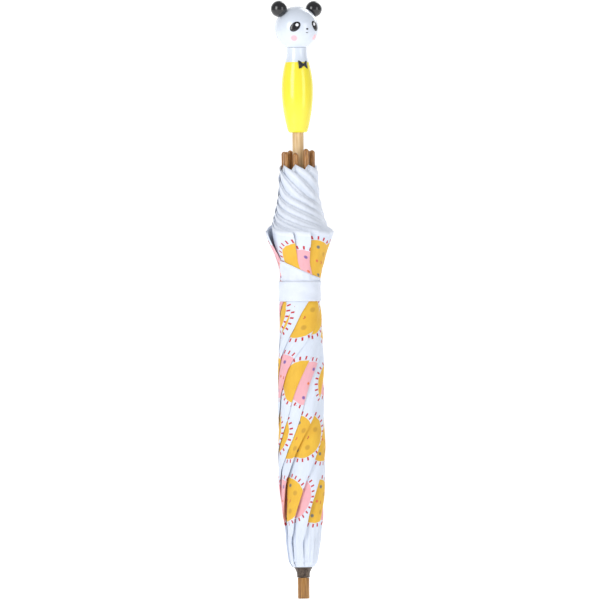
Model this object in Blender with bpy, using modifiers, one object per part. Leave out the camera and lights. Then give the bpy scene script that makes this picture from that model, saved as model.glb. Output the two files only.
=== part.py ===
"""A child's stick umbrella, rolled up and tied, standing on its wooden tip with the handle on top.

A turned wooden handle in the shape of a panda sits on a wooden shaft. Eight steel ribs hinge on
a wire ring in the notch near the tip, and eight stretchers join them to a runner on the shaft.
Each rib and its stretcher have the same length between pivots, so that the runner, the stretcher
and the rib always make an isosceles triangle. Lengths are in metres, +Z points up the shaft, and
the origin is the middle of the tip's flat end. The panda looks along -Y.
"""

import math

import bmesh
import bpy
import numpy as np
from mathutils import Matrix, Vector

MM = 0.001
CLEARANCE = 0.3 * MM  # between touching pieces that are glued, pressed or sewn together
OVERCUT = 1.0 * MM  # how far a cutter runs past the wall that it cuts
MERGE = 1e-6

# Shaft and wooden tip
SHAFT_RADIUS = 6.2 * MM
SPIGOT_RADIUS = SHAFT_RADIUS - 2.2 * MM
SPIGOT_LENGTH = 14.0 * MM
TIP_RADIUS = SHAFT_RADIUS + 0.25 * MM
TIP_LENGTH = 23.0 * MM
TIP_EDGE = 0.6 * MM

# Metal cap between the tip and the canopy, and the washer that clamps the cloth under it
CAP_HEIGHT = 11.0 * MM
CAP_FOOT_RADIUS = SHAFT_RADIUS + 0.9 * MM
CAP_FLARE = 3.3 * MM
CAP_WALL = 0.6 * MM
WASHER_RADIUS = 11.0 * MM
WASHER_THICKNESS = 0.7 * MM

# Ribs are channels that are open towards the shaft. X is outwards from the pivot line.
CHANNEL_WIDTH = 3.6 * MM
CHANNEL_WALL = 0.5 * MM
CHANNEL_BACK = 2.6 * MM
CHANNEL_FRONT = -1.6 * MM
CHANNEL_START = 7.0 * MM
BLADE_THICKNESS = 1.4 * MM
BLADE_FRONT = -1.5 * MM
BLADE_BACK = CHANNEL_BACK - 0.2 * MM
BLADE_OVERLAP = 4.0 * MM  # of a rib's flat ends inside its channel

# Wire rings, and the eyes that hinge on them
WIRE_RADIUS = 0.6 * MM
WIRE_CLEARANCE = 0.3 * MM
EYE_HOLE_RADIUS = WIRE_RADIUS + WIRE_CLEARANCE
EYE_RADIUS = EYE_HOLE_RADIUS + 0.8 * MM

# Notch and runner
NOTCH_WALL = 0.9 * MM  # between the bore and the floors of the slots
FLANGE_RIM = 2.2 * MM  # outside the pivot circle
FLANGE_HALF_HEIGHT = 4.4 * MM
SLOT_CLEARANCE = 0.4 * MM
RUNNER_CLEARANCE = 0.4 * MM
RUNNER_BORE = SHAFT_RADIUS + RUNNER_CLEARANCE
SLEEVE_RADIUS = RUNNER_BORE + 1.4 * MM
SLEEVE_LENGTH = 30.0 * MM
BEAD_RADIUS = SLEEVE_RADIUS + 2.0 * MM
BEAD_HEIGHT = 3.0 * MM

# The linkage: rib and stretcher pivots lie on circles of one radius round the shaft
RIB_COUNT = 8
RIB_PHASE = math.radians(5.0)
SLOT_FLOOR = SHAFT_RADIUS + CLEARANCE + NOTCH_WALL
PIVOT_RADIUS = SLOT_FLOOR + CLEARANCE + EYE_RADIUS
FLANGE_RADIUS = PIVOT_RADIUS + FLANGE_RIM
CAP_TOP = TIP_LENGTH + CLEARANCE + CAP_HEIGHT
NOTCH_HEIGHT = CAP_TOP + WASHER_THICKNESS + 2 * CLEARANCE + FLANGE_HALF_HEIGHT
LINK_LENGTH = 190.0 * MM  # from rib pivot to stretcher pivot, and the stretcher's own length
RIB_CLEARANCE = 0.6 * MM  # between the runner's rim and a closed rib
RIB_STANDOFF = FLANGE_RIM - CHANNEL_FRONT + RIB_CLEARANCE
REST_LEAN = math.asin(RIB_STANDOFF / LINK_LENGTH) / 2  # how far a closed rib leans outwards
OPEN_SWING = math.radians(64.0)  # how far a rib swings from closed to open
RUNNER_HEIGHT = NOTCH_HEIGHT + 2 * LINK_LENGTH * math.cos(REST_LEAN)
RUNNER_OPEN_HEIGHT = NOTCH_HEIGHT + 2 * LINK_LENGTH * math.cos(REST_LEAN + OPEN_SWING)
CHANNEL_END = 2 * LINK_LENGTH + 51.0 * MM

# Wooden rib ends
END_RADIUS = 3.15 * MM
END_LENGTH = 19.0 * MM
END_SOCKET_RADIUS = 1.9 * MM
END_SOCKET_DEPTH = 13.0 * MM
END_TANG_LENGTH = END_SOCKET_DEPTH - 0.5 * MM
END_TANG_FRONT = -0.4 * MM
END_OFFSET = 1.0 * MM  # the end's axis, outwards from the pivot line
END_GAP = 0.5 * MM

# Stretchers and the rivets that hold them in the ribs
STRETCHER_SIDE_CLEARANCE = 0.65 * MM
STRETCHER_THICKNESS = CHANNEL_WIDTH - 2 * (CHANNEL_WALL + STRETCHER_SIDE_CLEARANCE)
STRETCHER_HALF_DEPTH = 1.1 * MM
RIVET_RADIUS = 0.5 * MM
RIVET_HOLE_RADIUS = RIVET_RADIUS + CLEARANCE
RIVET_HEAD_RADIUS = RIVET_HOLE_RADIUS + 0.3 * MM
RIVET_HEAD_LENGTH = 0.5 * MM

# Spring catches that hold the runner closed and open, and the pin that stops it
CATCH_PHASE = RIB_PHASE + math.pi / RIB_COUNT
CATCH_LENGTH = 36.0 * MM
CATCH_THICKNESS = 1.8 * MM
CATCH_STRIP = 1.4 * MM
CATCH_ROOT_RADIUS = 2.0 * MM
CATCH_TOOTH_RADIUS = SHAFT_RADIUS + 1.4 * MM
CATCH_TOOTH_LENGTH = 3.0 * MM
CATCH_GAP = 1.0 * MM  # between a catch's tooth and the runner that it holds
CATCH_SLOT_WIDTH = CATCH_THICKNESS + 0.8 * MM
CATCH_SLOT_FLOOR = 0.4 * MM
SEAM_WIDTH = CATCH_THICKNESS + 1.6 * MM
STOP_RADIUS = 1.0 * MM
STOP_LENGTH = 2 * SHAFT_RADIUS + 3.6 * MM
STOP_GAP = 0.6 * MM

# Handle
SHAFT_SHOWING = 22.5 * MM  # between the rib ends and the handle
HANDLE_FOOT = NOTCH_HEIGHT + CHANNEL_END + END_LENGTH + SHAFT_SHOWING
HANDLE_BORE_DEPTH = 45.0 * MM
HANDLE_FOOT_RADIUS = SHAFT_RADIUS + 4.1 * MM
HANDLE_WAIST_HEIGHT = 48.0 * MM  # of the widest place above the handle's foot
HANDLE_RADIUS = 17.3 * MM
HANDLE_UPPER_CURVE = 4.9  # fall of the radius per square metre of height, in 1/m
SHOULDER_HEIGHT = 79.0 * MM
NECK_HEIGHT = 89.0 * MM
NECK_RADIUS = 10.9 * MM
NECK_TOP = 93.3 * MM
DOWEL_RADIUS = 5.0 * MM
DOWEL_LENGTH = 11.0 * MM
HEAD_RADIUS = 24.0 * MM
EAR_RADIUS = 9.0 * MM
EAR_DISTANCE = HEAD_RADIUS + 6.4 * MM
EAR_ANGLE = math.radians(46.0)  # from straight up

# Canopy, as it lies rolled round the ribs: (share of its length, how far it bulges outwards)
CANOPY_START = 12.0 * MM  # above the notch pivots
CANOPY_END = CHANNEL_END - 3.0 * MM
CANOPY_THICKNESS = 3.0 * MM
CANOPY_BULGE = (
    (0.0, 1.2 * MM),
    (0.05, 4.3 * MM),
    (0.115, 7.0 * MM),
    (0.21, 8.9 * MM),
    (0.43, 7.7 * MM),
    (0.57, 4.8 * MM),
    (0.65, 3.6 * MM),
    (0.72, 3.5 * MM),
    (0.78, 8.3 * MM),
    (0.84, 11.5 * MM),
    (0.895, 6.3 * MM),
    (1.0, 1.1 * MM),
)
PANEL_GAP = math.radians(4.0)
STRAP_BOTTOM = 287.0 * MM  # above the notch pivots
STRAP_WIDTH = 22.0 * MM
STRAP_THICKNESS = 1.1 * MM
STUD_RADIUS = 5.0 * MM
STUD_HEIGHT = 1.8 * MM
STUD_PHASE = RIB_PHASE + 2 * math.pi / RIB_COUNT


def clear_scene():
    for obj in list(bpy.data.objects):
        bpy.data.objects.remove(obj)


def collection(name):
    made = bpy.data.collections.new(name)
    bpy.context.scene.collection.children.link(made)
    return made


def material(name, colour, roughness, metallic=0.0):
    """A Principled BSDF of one colour, given as red, green and blue from 0 to 1."""
    made = bpy.data.materials.new(name)
    made.use_nodes = True
    shader = made.node_tree.nodes["Principled BSDF"]
    shader.inputs["Base Color"].default_value = (*colour, 1.0)
    shader.inputs["Roughness"].default_value = roughness
    shader.inputs["Metallic"].default_value = metallic
    return made


clear_scene()
UMBRELLA = collection("childrens_umbrella")
CUTTERS = collection("cutters")
SHAFT_WOOD = material("pale_beech", (0.66, 0.47, 0.26), 0.45)
BROWN_WOOD = material("stained_wood", (0.45, 0.23, 0.06), 0.4)
GUNMETAL = material("dark_bronze", (0.09, 0.07, 0.05), 0.35, 1.0)
STEEL = material("plated_steel", (0.55, 0.55, 0.57), 0.35, 1.0)
WHITE_PAINT = material("white_lacquer", (0.86, 0.87, 0.9), 0.25)
YELLOW_PAINT = material("yellow_lacquer", (0.95, 0.88, 0.03), 0.25)
BLACK_PAINT = material("black_lacquer", (0.01, 0.01, 0.015), 0.2)
CANOPY_CLOTH = material("printed_canopy_cloth", (0.8, 0.81, 0.84), 0.7)
STRAP_CLOTH = material("white_strap_cloth", (0.84, 0.85, 0.88), 0.7)


def placed(name, mesh, finish, where=None, group=None):
    """An object that shows this mesh, at the matrix given, or at the origin."""
    obj = bpy.data.objects.new(name, mesh)
    (group or UMBRELLA).objects.link(obj)
    if finish and not mesh.materials:
        mesh.materials.append(finish)
    if where is not None:
        obj.matrix_world = where
    return obj


def evaluated_mesh(obj):
    """The object's mesh with its modifiers applied, and the object removed."""
    bpy.context.view_layer.update()
    graph = bpy.context.evaluated_depsgraph_get()
    mesh = bpy.data.meshes.new_from_object(obj.evaluated_get(graph), depsgraph=graph)
    bpy.data.objects.remove(obj)
    return mesh


def smoothed(mesh):
    mesh.shade_smooth()
    mesh.set_sharp_from_angle(angle=math.radians(35))
    return mesh


def turned(name, profile, finish, steps=20, group=None, closed=False, sweep=2 * math.pi):
    """A (radius, height) profile swept round Z. It runs down the outer side, and a closed one
    comes back up the inner side, as a ring's section does."""
    bm = bmesh.new()
    points = [bm.verts.new((radius, 0.0, height)) for radius, height in profile]
    for a, b in zip(points, points[1:] + points[:1] if closed else points[1:], strict=False):
        bm.edges.new((a, b))
    mesh = bpy.data.meshes.new(name)
    bm.to_mesh(mesh)
    bm.free()
    obj = placed(name, mesh, finish, group=group)
    screw = obj.modifiers.new("turn", "SCREW")
    screw.angle = sweep
    screw.steps = screw.render_steps = steps
    screw.use_merge_vertices = True
    screw.merge_threshold = MERGE
    screw.use_smooth_shade = False
    return obj


def box(name, low, high, where=None, finish=None, group=None):
    """A box between two corners."""
    bm = bmesh.new()
    size = [b - a for a, b in zip(low, high, strict=True)]
    middle = [(a + b) / 2 for a, b in zip(low, high, strict=True)]
    bmesh.ops.create_cube(bm, size=1.0, matrix=Matrix.Translation(middle) @ Matrix.Diagonal((*size, 1)))
    mesh = bpy.data.meshes.new(name)
    bm.to_mesh(mesh)
    bm.free()
    return placed(name, mesh, finish, where, group or CUTTERS)


def rod(name, radius, length, where, finish=None, sides=12, group=None):
    """A cylinder along its own Z, with its middle at the matrix given."""
    bm = bmesh.new()
    bmesh.ops.create_cone(
        bm, cap_ends=True, segments=sides, radius1=radius, radius2=radius, depth=length
    )
    mesh = bpy.data.meshes.new(name)
    bm.to_mesh(mesh)
    bm.free()
    return placed(name, mesh, finish, where, group or CUTTERS)


def ball(name, radius, centre, finish=None, sides=20, group=None):
    bm = bmesh.new()
    bmesh.ops.create_uvsphere(bm, u_segments=sides, v_segments=sides // 2, radius=radius)
    mesh = bpy.data.meshes.new(name)
    bm.to_mesh(mesh)
    bm.free()
    return placed(name, mesh, finish, Matrix.Translation(centre), group or CUTTERS)


def flat_piece(name, outline, thickness, finish=None, group=None):
    """A filled outline in XY, with half of its thickness on each side, as a closed mesh."""
    curve = bpy.data.curves.new(name, "CURVE")
    curve.dimensions = "2D"
    curve.fill_mode = "BOTH"
    curve.extrude = thickness / 2
    spline = curve.splines.new("POLY")
    spline.points.add(len(outline) - 1)
    for point, (x, y) in zip(spline.points, outline, strict=True):
        point.co = (x, y, 0.0, 1.0)
    spline.use_cyclic_u = True
    obj = bpy.data.objects.new(name, curve)
    CUTTERS.objects.link(obj)
    mesh = evaluated_mesh(obj)
    bm = bmesh.new()
    bm.from_mesh(mesh)
    bmesh.ops.remove_doubles(bm, verts=bm.verts, dist=MERGE)
    bmesh.ops.recalc_face_normals(bm, faces=bm.faces)
    bm.to_mesh(mesh)
    bm.free()
    mesh.name = name
    return placed(name, mesh, finish, group=group or CUTTERS)


def combine(obj, other, operation):
    """Adds a Boolean of another object, which becomes a hidden helper."""
    other.hide_render = True
    other.display_type = "WIRE"
    boolean = obj.modifiers.new(operation.lower() + "_" + other.name, "BOOLEAN")
    boolean.operation = operation
    boolean.object = other


def round_the_shaft(angle):
    return Matrix.Rotation(angle, 4, "Z")


def rib_angle(number):
    return RIB_PHASE + number * 2 * math.pi / RIB_COUNT


def cross_axis(distance):
    """Turns a rod's own Z to the direction round the shaft, at this distance up a link."""
    return Matrix.Translation((0, 0, distance)) @ Matrix.Rotation(math.pi / 2, 4, "X")


def hinge_frame(number, height, lean):
    """The frame of a link that hinges at this height: Z up the link, X outwards."""
    pivot = Matrix.Translation((PIVOT_RADIUS, 0, height))
    return round_the_shaft(rib_angle(number)) @ pivot @ Matrix.Rotation(lean, 4, "Y")


# Shaft, tip and cap


def catch_slot(name, low, high):
    """A cutter for the slot that a spring catch lies in, from the shaft's middle outwards."""
    return box(
        name,
        (CATCH_SLOT_FLOOR, -CATCH_SLOT_WIDTH / 2, low),
        (SHAFT_RADIUS + OVERCUT, CATCH_SLOT_WIDTH / 2, high),
        round_the_shaft(CATCH_PHASE),
    )


def stop_pin_height():
    return RUNNER_OPEN_HEIGHT - FLANGE_HALF_HEIGHT - STOP_GAP - STOP_RADIUS


def catch_spans():
    """(root height, tooth height) of the catch that holds the runner closed, then open."""
    closed = RUNNER_HEIGHT - FLANGE_HALF_HEIGHT - CATCH_GAP
    opened = RUNNER_OPEN_HEIGHT + FLANGE_HALF_HEIGHT + SLEEVE_LENGTH + CATCH_GAP
    return (closed - CATCH_LENGTH, closed), (opened + CATCH_LENGTH, opened)


def stop_pin_frame():
    across = round_the_shaft(CATCH_PHASE + math.pi / 2) @ Matrix.Rotation(math.pi / 2, 4, "Y")
    return Matrix.Translation((0, 0, stop_pin_height())) @ across


def make_shaft():
    top = HANDLE_FOOT + HANDLE_BORE_DEPTH - CLEARANCE
    seat = TIP_LENGTH + CLEARANCE
    shaft = turned(
        "shaft",
        (
            (0.0, top),
            (SHAFT_RADIUS, top),
            (SHAFT_RADIUS, seat),
            (SPIGOT_RADIUS, seat),
            (SPIGOT_RADIUS, seat - SPIGOT_LENGTH),
            (0.0, seat - SPIGOT_LENGTH),
        ),
        SHAFT_WOOD,
    )
    for name, span in zip(("closed_slot", "open_slot"), catch_spans(), strict=True):
        low, high = sorted(span)
        combine(shaft, catch_slot(name, low - OVERCUT, high + OVERCUT), "DIFFERENCE")
    hole = rod("stop_pin_hole", STOP_RADIUS + CLEARANCE, 4 * SHAFT_RADIUS, stop_pin_frame())
    combine(shaft, hole, "DIFFERENCE")


def make_tip():
    socket = SPIGOT_RADIUS + CLEARANCE
    floor = TIP_LENGTH - SPIGOT_LENGTH
    turned(
        "wooden_tip",
        (
            (0.0, floor),
            (socket, floor),
            (socket, TIP_LENGTH),
            (TIP_RADIUS, TIP_LENGTH),
            (TIP_RADIUS, TIP_EDGE),
            (TIP_RADIUS - TIP_EDGE, 0.0),
            (0.0, 0.0),
        ),
        BROWN_WOOD,
    )


def make_cap():
    """A flared cup: a trumpet profile outside, and the same one a wall further in."""
    bore = SHAFT_RADIUS + CLEARANCE
    foot = TIP_LENGTH + CLEARANCE
    steps = 4
    flare = [
        (
            CAP_FOOT_RADIUS + CAP_FLARE * (i / steps) ** 2,
            foot + CAP_HEIGHT * (0.25 + 0.75 * i / steps),
        )
        for i in range(steps + 1)
    ]
    outside = [*reversed(flare), (CAP_FOOT_RADIUS, foot)]
    lip = CAP_FOOT_RADIUS + CAP_FLARE - CAP_WALL
    inside = [(bore, foot), (bore, flare[2][1] - CAP_WALL)]
    inside += [(radius - CAP_WALL, height) for radius, height in flare[3:-1]]
    turned("ferrule_cap", [*outside, *inside, (lip, CAP_TOP)], GUNMETAL, closed=True)


def make_washer():
    """A thin ring that clamps the gathered middle of the cloth between cap and notch."""
    bore = SHAFT_RADIUS + CLEARANCE
    low = CAP_TOP + CLEARANCE
    high = low + WASHER_THICKNESS
    section = ((WASHER_RADIUS, high), (WASHER_RADIUS, low), (bore, low), (bore, high))
    turned("canopy_washer", section, CANOPY_CLOTH, closed=True)


# Notch, runner and wire rings


def link_slots(name, height):
    """Eight slots in one cutter, one for each rib's or stretcher's eye."""
    bm = bmesh.new()
    reach = FLANGE_RADIUS + OVERCUT
    width = BLADE_THICKNESS + 2 * SLOT_CLEARANCE
    size = (reach - SLOT_FLOOR, width, 2 * (FLANGE_HALF_HEIGHT + OVERCUT), 1)
    for number in range(RIB_COUNT):
        middle = Matrix.Translation(((reach + SLOT_FLOOR) / 2, 0, height))
        bmesh.ops.create_cube(
            bm, size=1.0, matrix=round_the_shaft(rib_angle(number)) @ middle @ Matrix.Diagonal(size)
        )
    mesh = bpy.data.meshes.new(name)
    bm.to_mesh(mesh)
    bm.free()
    return placed(name, mesh, None, group=CUTTERS)


def wire_groove(name, height):
    """A ring cut for the wire, open towards the handle."""
    reach = WIRE_RADIUS + WIRE_CLEARANCE
    top = height + FLANGE_HALF_HEIGHT + OVERCUT
    low = height - reach
    outer = PIVOT_RADIUS + reach
    inner = PIVOT_RADIUS - reach
    section = ((outer, top), (outer, low), (inner, low), (inner, top))
    return turned(name, section, None, steps=24, group=CUTTERS, closed=True)


def make_notch():
    bore = SHAFT_RADIUS + CLEARANCE
    low = NOTCH_HEIGHT - FLANGE_HALF_HEIGHT
    high = NOTCH_HEIGHT + FLANGE_HALF_HEIGHT
    notch = turned(
        "top_notch",
        ((FLANGE_RADIUS, high), (FLANGE_RADIUS, low), (bore, low), (bore, high)),
        STEEL,
        steps=24,
        closed=True,
    )
    combine(notch, wire_groove("notch_groove", NOTCH_HEIGHT), "DIFFERENCE")
    combine(notch, link_slots("notch_slots", NOTCH_HEIGHT), "DIFFERENCE")


def make_runner():
    """A slotted crown with a sleeve on its handle side. Its open seam lets the catches past."""
    low = RUNNER_HEIGHT - FLANGE_HALF_HEIGHT
    high = RUNNER_HEIGHT + FLANGE_HALF_HEIGHT
    top = high + SLEEVE_LENGTH
    runner = turned(
        "runner",
        (
            (RUNNER_BORE, top),
            (BEAD_RADIUS, top),
            (BEAD_RADIUS, top - BEAD_HEIGHT),
            (SLEEVE_RADIUS, top - BEAD_HEIGHT),
            (SLEEVE_RADIUS, high),
            (FLANGE_RADIUS, high),
            (FLANGE_RADIUS, low),
            (RUNNER_BORE, low),
        ),
        STEEL,
        steps=24,
        closed=True,
    )
    combine(runner, wire_groove("runner_groove", RUNNER_HEIGHT), "DIFFERENCE")
    combine(runner, link_slots("runner_slots", RUNNER_HEIGHT), "DIFFERENCE")
    seam = box(
        "runner_seam",
        (SHAFT_RADIUS - OVERCUT, -SEAM_WIDTH / 2, low - OVERCUT),
        (FLANGE_RADIUS + OVERCUT, SEAM_WIDTH / 2, top + OVERCUT),
        round_the_shaft(CATCH_PHASE),
    )
    combine(runner, seam, "DIFFERENCE")


def make_wire(name, height):
    bpy.ops.mesh.primitive_torus_add(
        major_radius=PIVOT_RADIUS,
        minor_radius=WIRE_RADIUS,
        major_segments=24,
        minor_segments=6,
        location=(0, 0, height),
    )
    wire = bpy.context.object
    wire.name = name
    for group in list(wire.users_collection):
        group.objects.unlink(wire)
    UMBRELLA.objects.link(wire)
    wire.data.materials.append(STEEL)


# Catches and stop


def make_catch(name, root, tooth):
    """A flat spring in the plane of the shaft's axis: thin at its root, with a tooth at the end.
    The outline's X runs from root to tooth and its Y is the distance from the axis."""
    length = abs(tooth - root)
    start = CATCH_ROOT_RADIUS
    neck = CATCH_TOOTH_RADIUS - CATCH_STRIP
    back = length - CATCH_TOOTH_LENGTH
    outline = (
        (0.0, start - CATCH_STRIP / 2),
        (back, neck - CATCH_STRIP),
        (length, neck - CATCH_STRIP),
        (length, CATCH_TOOTH_RADIUS),
        (back, CATCH_TOOTH_RADIUS - CATCH_STRIP / 2),
        (0.0, start + CATCH_STRIP / 2),
    )
    catch = flat_piece(name, outline, CATCH_THICKNESS, STEEL, UMBRELLA)
    sign = 1.0 if tooth > root else -1.0
    along, away = Vector((0, 0, sign)), Vector((1, 0, 0))
    axes = Matrix((along, away, along.cross(away))).transposed().to_4x4()
    catch.matrix_world = round_the_shaft(CATCH_PHASE) @ Matrix.Translation((0, 0, root)) @ axes


def make_catches():
    names = ("closed_catch", "open_catch")
    for name, (root, tooth) in zip(names, catch_spans(), strict=True):
        make_catch(name, root, tooth)
    rod("stop_pin", STOP_RADIUS, STOP_LENGTH, stop_pin_frame(), STEEL, 12, UMBRELLA)


# Ribs, their wooden ends, stretchers and rivets


def channel_outline():
    """A section of the rib: a web on the outside, with two legs that point at the shaft."""
    side = CHANNEL_WIDTH / 2
    inner = side - CHANNEL_WALL
    web = CHANNEL_BACK - CHANNEL_WALL
    return (
        (CHANNEL_FRONT, -side),
        (CHANNEL_BACK, -side),
        (CHANNEL_BACK, side),
        (CHANNEL_FRONT, side),
        (CHANNEL_FRONT, inner),
        (web, inner),
        (web, -inner),
        (CHANNEL_FRONT, -inner),
    )


def eye(name, distance, thickness):
    return rod(name, EYE_RADIUS, thickness, cross_axis(distance), None, 10)


def eye_hole(name, distance, radius=EYE_HOLE_RADIUS):
    return rod(name, radius, 2 * CHANNEL_WIDTH, cross_axis(distance), None, 8)


def rib_mesh():
    """One rib, with its pivot at the origin, Z along it and X outwards."""
    rib = flat_piece("rib", channel_outline(), CHANNEL_END - CHANNEL_START)
    rib.data.transform(Matrix.Translation((0, 0, (CHANNEL_END + CHANNEL_START) / 2)))
    half = BLADE_THICKNESS / 2
    blade = box(
        "rib_blade",
        (BLADE_FRONT, -half, 0.0),
        (BLADE_BACK, half, CHANNEL_START + BLADE_OVERLAP),
    )
    tang = box(
        "rib_tang",
        (END_TANG_FRONT, -half, CHANNEL_END - BLADE_OVERLAP),
        (BLADE_BACK, half, CHANNEL_END + END_TANG_LENGTH),
    )
    combine(rib, blade, "UNION")
    combine(rib, eye("rib_eye", 0.0, BLADE_THICKNESS), "UNION")
    combine(rib, tang, "UNION")
    combine(rib, eye_hole("rib_eye_hole", 0.0), "DIFFERENCE")
    combine(rib, eye_hole("rivet_hole", LINK_LENGTH, RIVET_HOLE_RADIUS), "DIFFERENCE")
    return evaluated_mesh(rib)


def end_mesh():
    """A wooden end with a round nose and a socket for the rib's tang, Z along the rib."""
    nose = 3
    start = CHANNEL_END + END_GAP
    shoulder = start + END_LENGTH - END_RADIUS
    dome = [
        (
            END_RADIUS * math.sin(math.pi / 2 * i / nose),
            shoulder + END_RADIUS * math.cos(math.pi / 2 * i / nose),
        )
        for i in range(nose + 1)
    ]
    floor = start + END_SOCKET_DEPTH
    socket = [
        (END_RADIUS, start),
        (END_SOCKET_RADIUS, start),
        (END_SOCKET_RADIUS, floor),
        (0.0, floor),
    ]
    end = turned("rib_end", dome + socket, None, steps=10, group=CUTTERS)
    mesh = evaluated_mesh(end)
    mesh.transform(Matrix.Translation((END_OFFSET, 0, 0)))
    return smoothed(mesh)


def stretcher_mesh():
    """One stretcher, with its rib pivot at the origin and its runner pivot up Z."""
    half = STRETCHER_THICKNESS / 2
    depth = STRETCHER_HALF_DEPTH
    stretcher = box("stretcher", (-depth, -half, 0.0), (depth, half, LINK_LENGTH))
    for name, distance in (("lower", 0.0), ("upper", LINK_LENGTH)):
        combine(stretcher, eye(name + "_eye", distance, STRETCHER_THICKNESS), "UNION")
        combine(stretcher, eye_hole(name + "_eye_hole", distance), "DIFFERENCE")
    return evaluated_mesh(stretcher)


def rivet_mesh():
    """A rivet with two heads, along the hinge axis at the stretcher's pivot."""
    neck = CHANNEL_WIDTH / 2 + CLEARANCE
    end = neck + RIVET_HEAD_LENGTH
    section = (
        (0.0, end),
        (RIVET_HEAD_RADIUS, end),
        (RIVET_HEAD_RADIUS, neck),
        (RIVET_RADIUS, neck),
        (RIVET_RADIUS, -neck),
        (RIVET_HEAD_RADIUS, -neck),
        (RIVET_HEAD_RADIUS, -end),
        (0.0, -end),
    )
    mesh = evaluated_mesh(turned("rivet", section, None, steps=6, group=CUTTERS))
    mesh.transform(cross_axis(LINK_LENGTH))
    return mesh


def make_linkage():
    rib, end, stretcher, rivet = rib_mesh(), end_mesh(), stretcher_mesh(), rivet_mesh()
    for mesh, finish in ((rib, STEEL), (end, BROWN_WOOD), (stretcher, STEEL), (rivet, STEEL)):
        mesh.materials.clear()
        mesh.materials.append(finish)
    joint_height = NOTCH_HEIGHT + LINK_LENGTH * math.cos(REST_LEAN)
    joint_radius = LINK_LENGTH * math.sin(REST_LEAN)
    for number in range(RIB_COUNT):
        label = str(number + 1)
        link = hinge_frame(number, NOTCH_HEIGHT, REST_LEAN)
        placed("rib_" + label, rib, STEEL, link)
        placed("rib_end_" + label, end, BROWN_WOOD, link)
        placed("rivet_" + label, rivet, STEEL, link)
        outward = round_the_shaft(rib_angle(number)) @ Vector((joint_radius, 0, 0))
        strut = Matrix.Translation(outward) @ hinge_frame(number, joint_height, -REST_LEAN)
        placed("stretcher_" + label, stretcher, STEEL, strut)


# Handle


def barrel_radius(height):
    """The handle's radius at this height above its foot: two parabolas, then a rounded neck."""
    rise = height - HANDLE_WAIST_HEIGHT
    if rise <= 0:
        fall = HANDLE_RADIUS - HANDLE_FOOT_RADIUS
        return HANDLE_RADIUS - fall * (rise / HANDLE_WAIST_HEIGHT) ** 2
    if height <= SHOULDER_HEIGHT:
        return HANDLE_RADIUS - HANDLE_UPPER_CURVE * rise**2
    shoulder = HANDLE_RADIUS - HANDLE_UPPER_CURVE * (SHOULDER_HEIGHT - HANDLE_WAIST_HEIGHT) ** 2
    share = min((height - SHOULDER_HEIGHT) / (NECK_HEIGHT - SHOULDER_HEIGHT), 1.0)
    return shoulder + (NECK_RADIUS - shoulder) * math.sin(math.pi / 2 * share)


def make_handle():
    foot_round = 1.6 * MM
    bore = SHAFT_RADIUS + CLEARANCE
    stations = 11
    heights = [
        foot_round + (NECK_TOP - foot_round) * i / (stations - 1) for i in range(stations)
    ]
    side = [(barrel_radius(height), HANDLE_FOOT + height) for height in reversed(heights)]
    dowel_top = HANDLE_FOOT + NECK_TOP + DOWEL_LENGTH
    turned(
        "handle_body",
        [
            (0.0, dowel_top),
            (DOWEL_RADIUS, dowel_top),
            (DOWEL_RADIUS, HANDLE_FOOT + NECK_TOP),
            *side,
            (HANDLE_FOOT_RADIUS - foot_round, HANDLE_FOOT),
            (bore, HANDLE_FOOT),
            (bore, HANDLE_FOOT + HANDLE_BORE_DEPTH),
            (0.0, HANDLE_FOOT + HANDLE_BORE_DEPTH),
        ],
        YELLOW_PAINT,
    )


def head_seat():
    """The height of the flat under the head, where it rests on the neck."""
    return HANDLE_FOOT + NECK_TOP + CLEARANCE


def head_centre():
    drop = math.sqrt(HEAD_RADIUS**2 - NECK_RADIUS**2)
    return Vector((0, 0, head_seat() + drop))


def make_head():
    """A wooden ball with a flat underneath and a drilled socket for the neck's dowel."""
    centre = head_centre().z
    rings = 10
    lowest = math.pi - math.asin(NECK_RADIUS / HEAD_RADIUS)
    ring_points = [
        (HEAD_RADIUS * math.sin(lowest * i / rings), centre + HEAD_RADIUS * math.cos(lowest * i / rings))
        for i in range(rings + 1)
    ]
    socket = DOWEL_RADIUS + CLEARANCE
    floor = head_seat() + DOWEL_LENGTH + CLEARANCE
    turned(
        "handle_head",
        [*ring_points, (socket, head_seat()), (socket, floor), (0.0, floor)],
        WHITE_PAINT,
    )


def make_ears():
    """Two small balls, each hollowed to fit the head that it is glued to."""
    for name, side in (("left_ear", 1.0), ("right_ear", -1.0)):
        offset = Vector((side * math.sin(EAR_ANGLE), 0, math.cos(EAR_ANGLE))) * EAR_DISTANCE
        ear = ball(name, EAR_RADIUS, head_centre() + offset, BLACK_PAINT, 16, UMBRELLA)
        seat = ball(name + "_seat", HEAD_RADIUS + CLEARANCE, head_centre(), None, 40)
        combine(ear, seat, "DIFFERENCE")


# Canopy and strap


def canopy_profile():
    """(height above the notch pivots, outer radius), from the bottom of the cloth to its hem."""
    profile = []
    for share, bulge in CANOPY_BULGE:
        height = CANOPY_START + share * (CANOPY_END - CANOPY_START)
        rib_back = PIVOT_RADIUS + height * math.sin(REST_LEAN) + CHANNEL_BACK
        profile.append((height, rib_back + CLEARANCE + CANOPY_THICKNESS + bulge))
    return profile


def make_canopy():
    """Eight rolled panels. Each is an open curved sheet between two ribs, thickened inwards."""
    sweep = 2 * math.pi / RIB_COUNT - PANEL_GAP
    profile = [(radius, NOTCH_HEIGHT + height) for height, radius in reversed(canopy_profile())]
    for number in range(RIB_COUNT):
        name = "canopy_panel_" + str(number + 1)
        panel = turned(name, profile, CANOPY_CLOTH, steps=3, sweep=sweep)
        panel.matrix_world = round_the_shaft(rib_angle(number) + PANEL_GAP / 2)
        thickness = panel.modifiers.new("folded_layers", "SOLIDIFY")
        thickness.thickness = CANOPY_THICKNESS
        thickness.offset = -1.0


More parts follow.
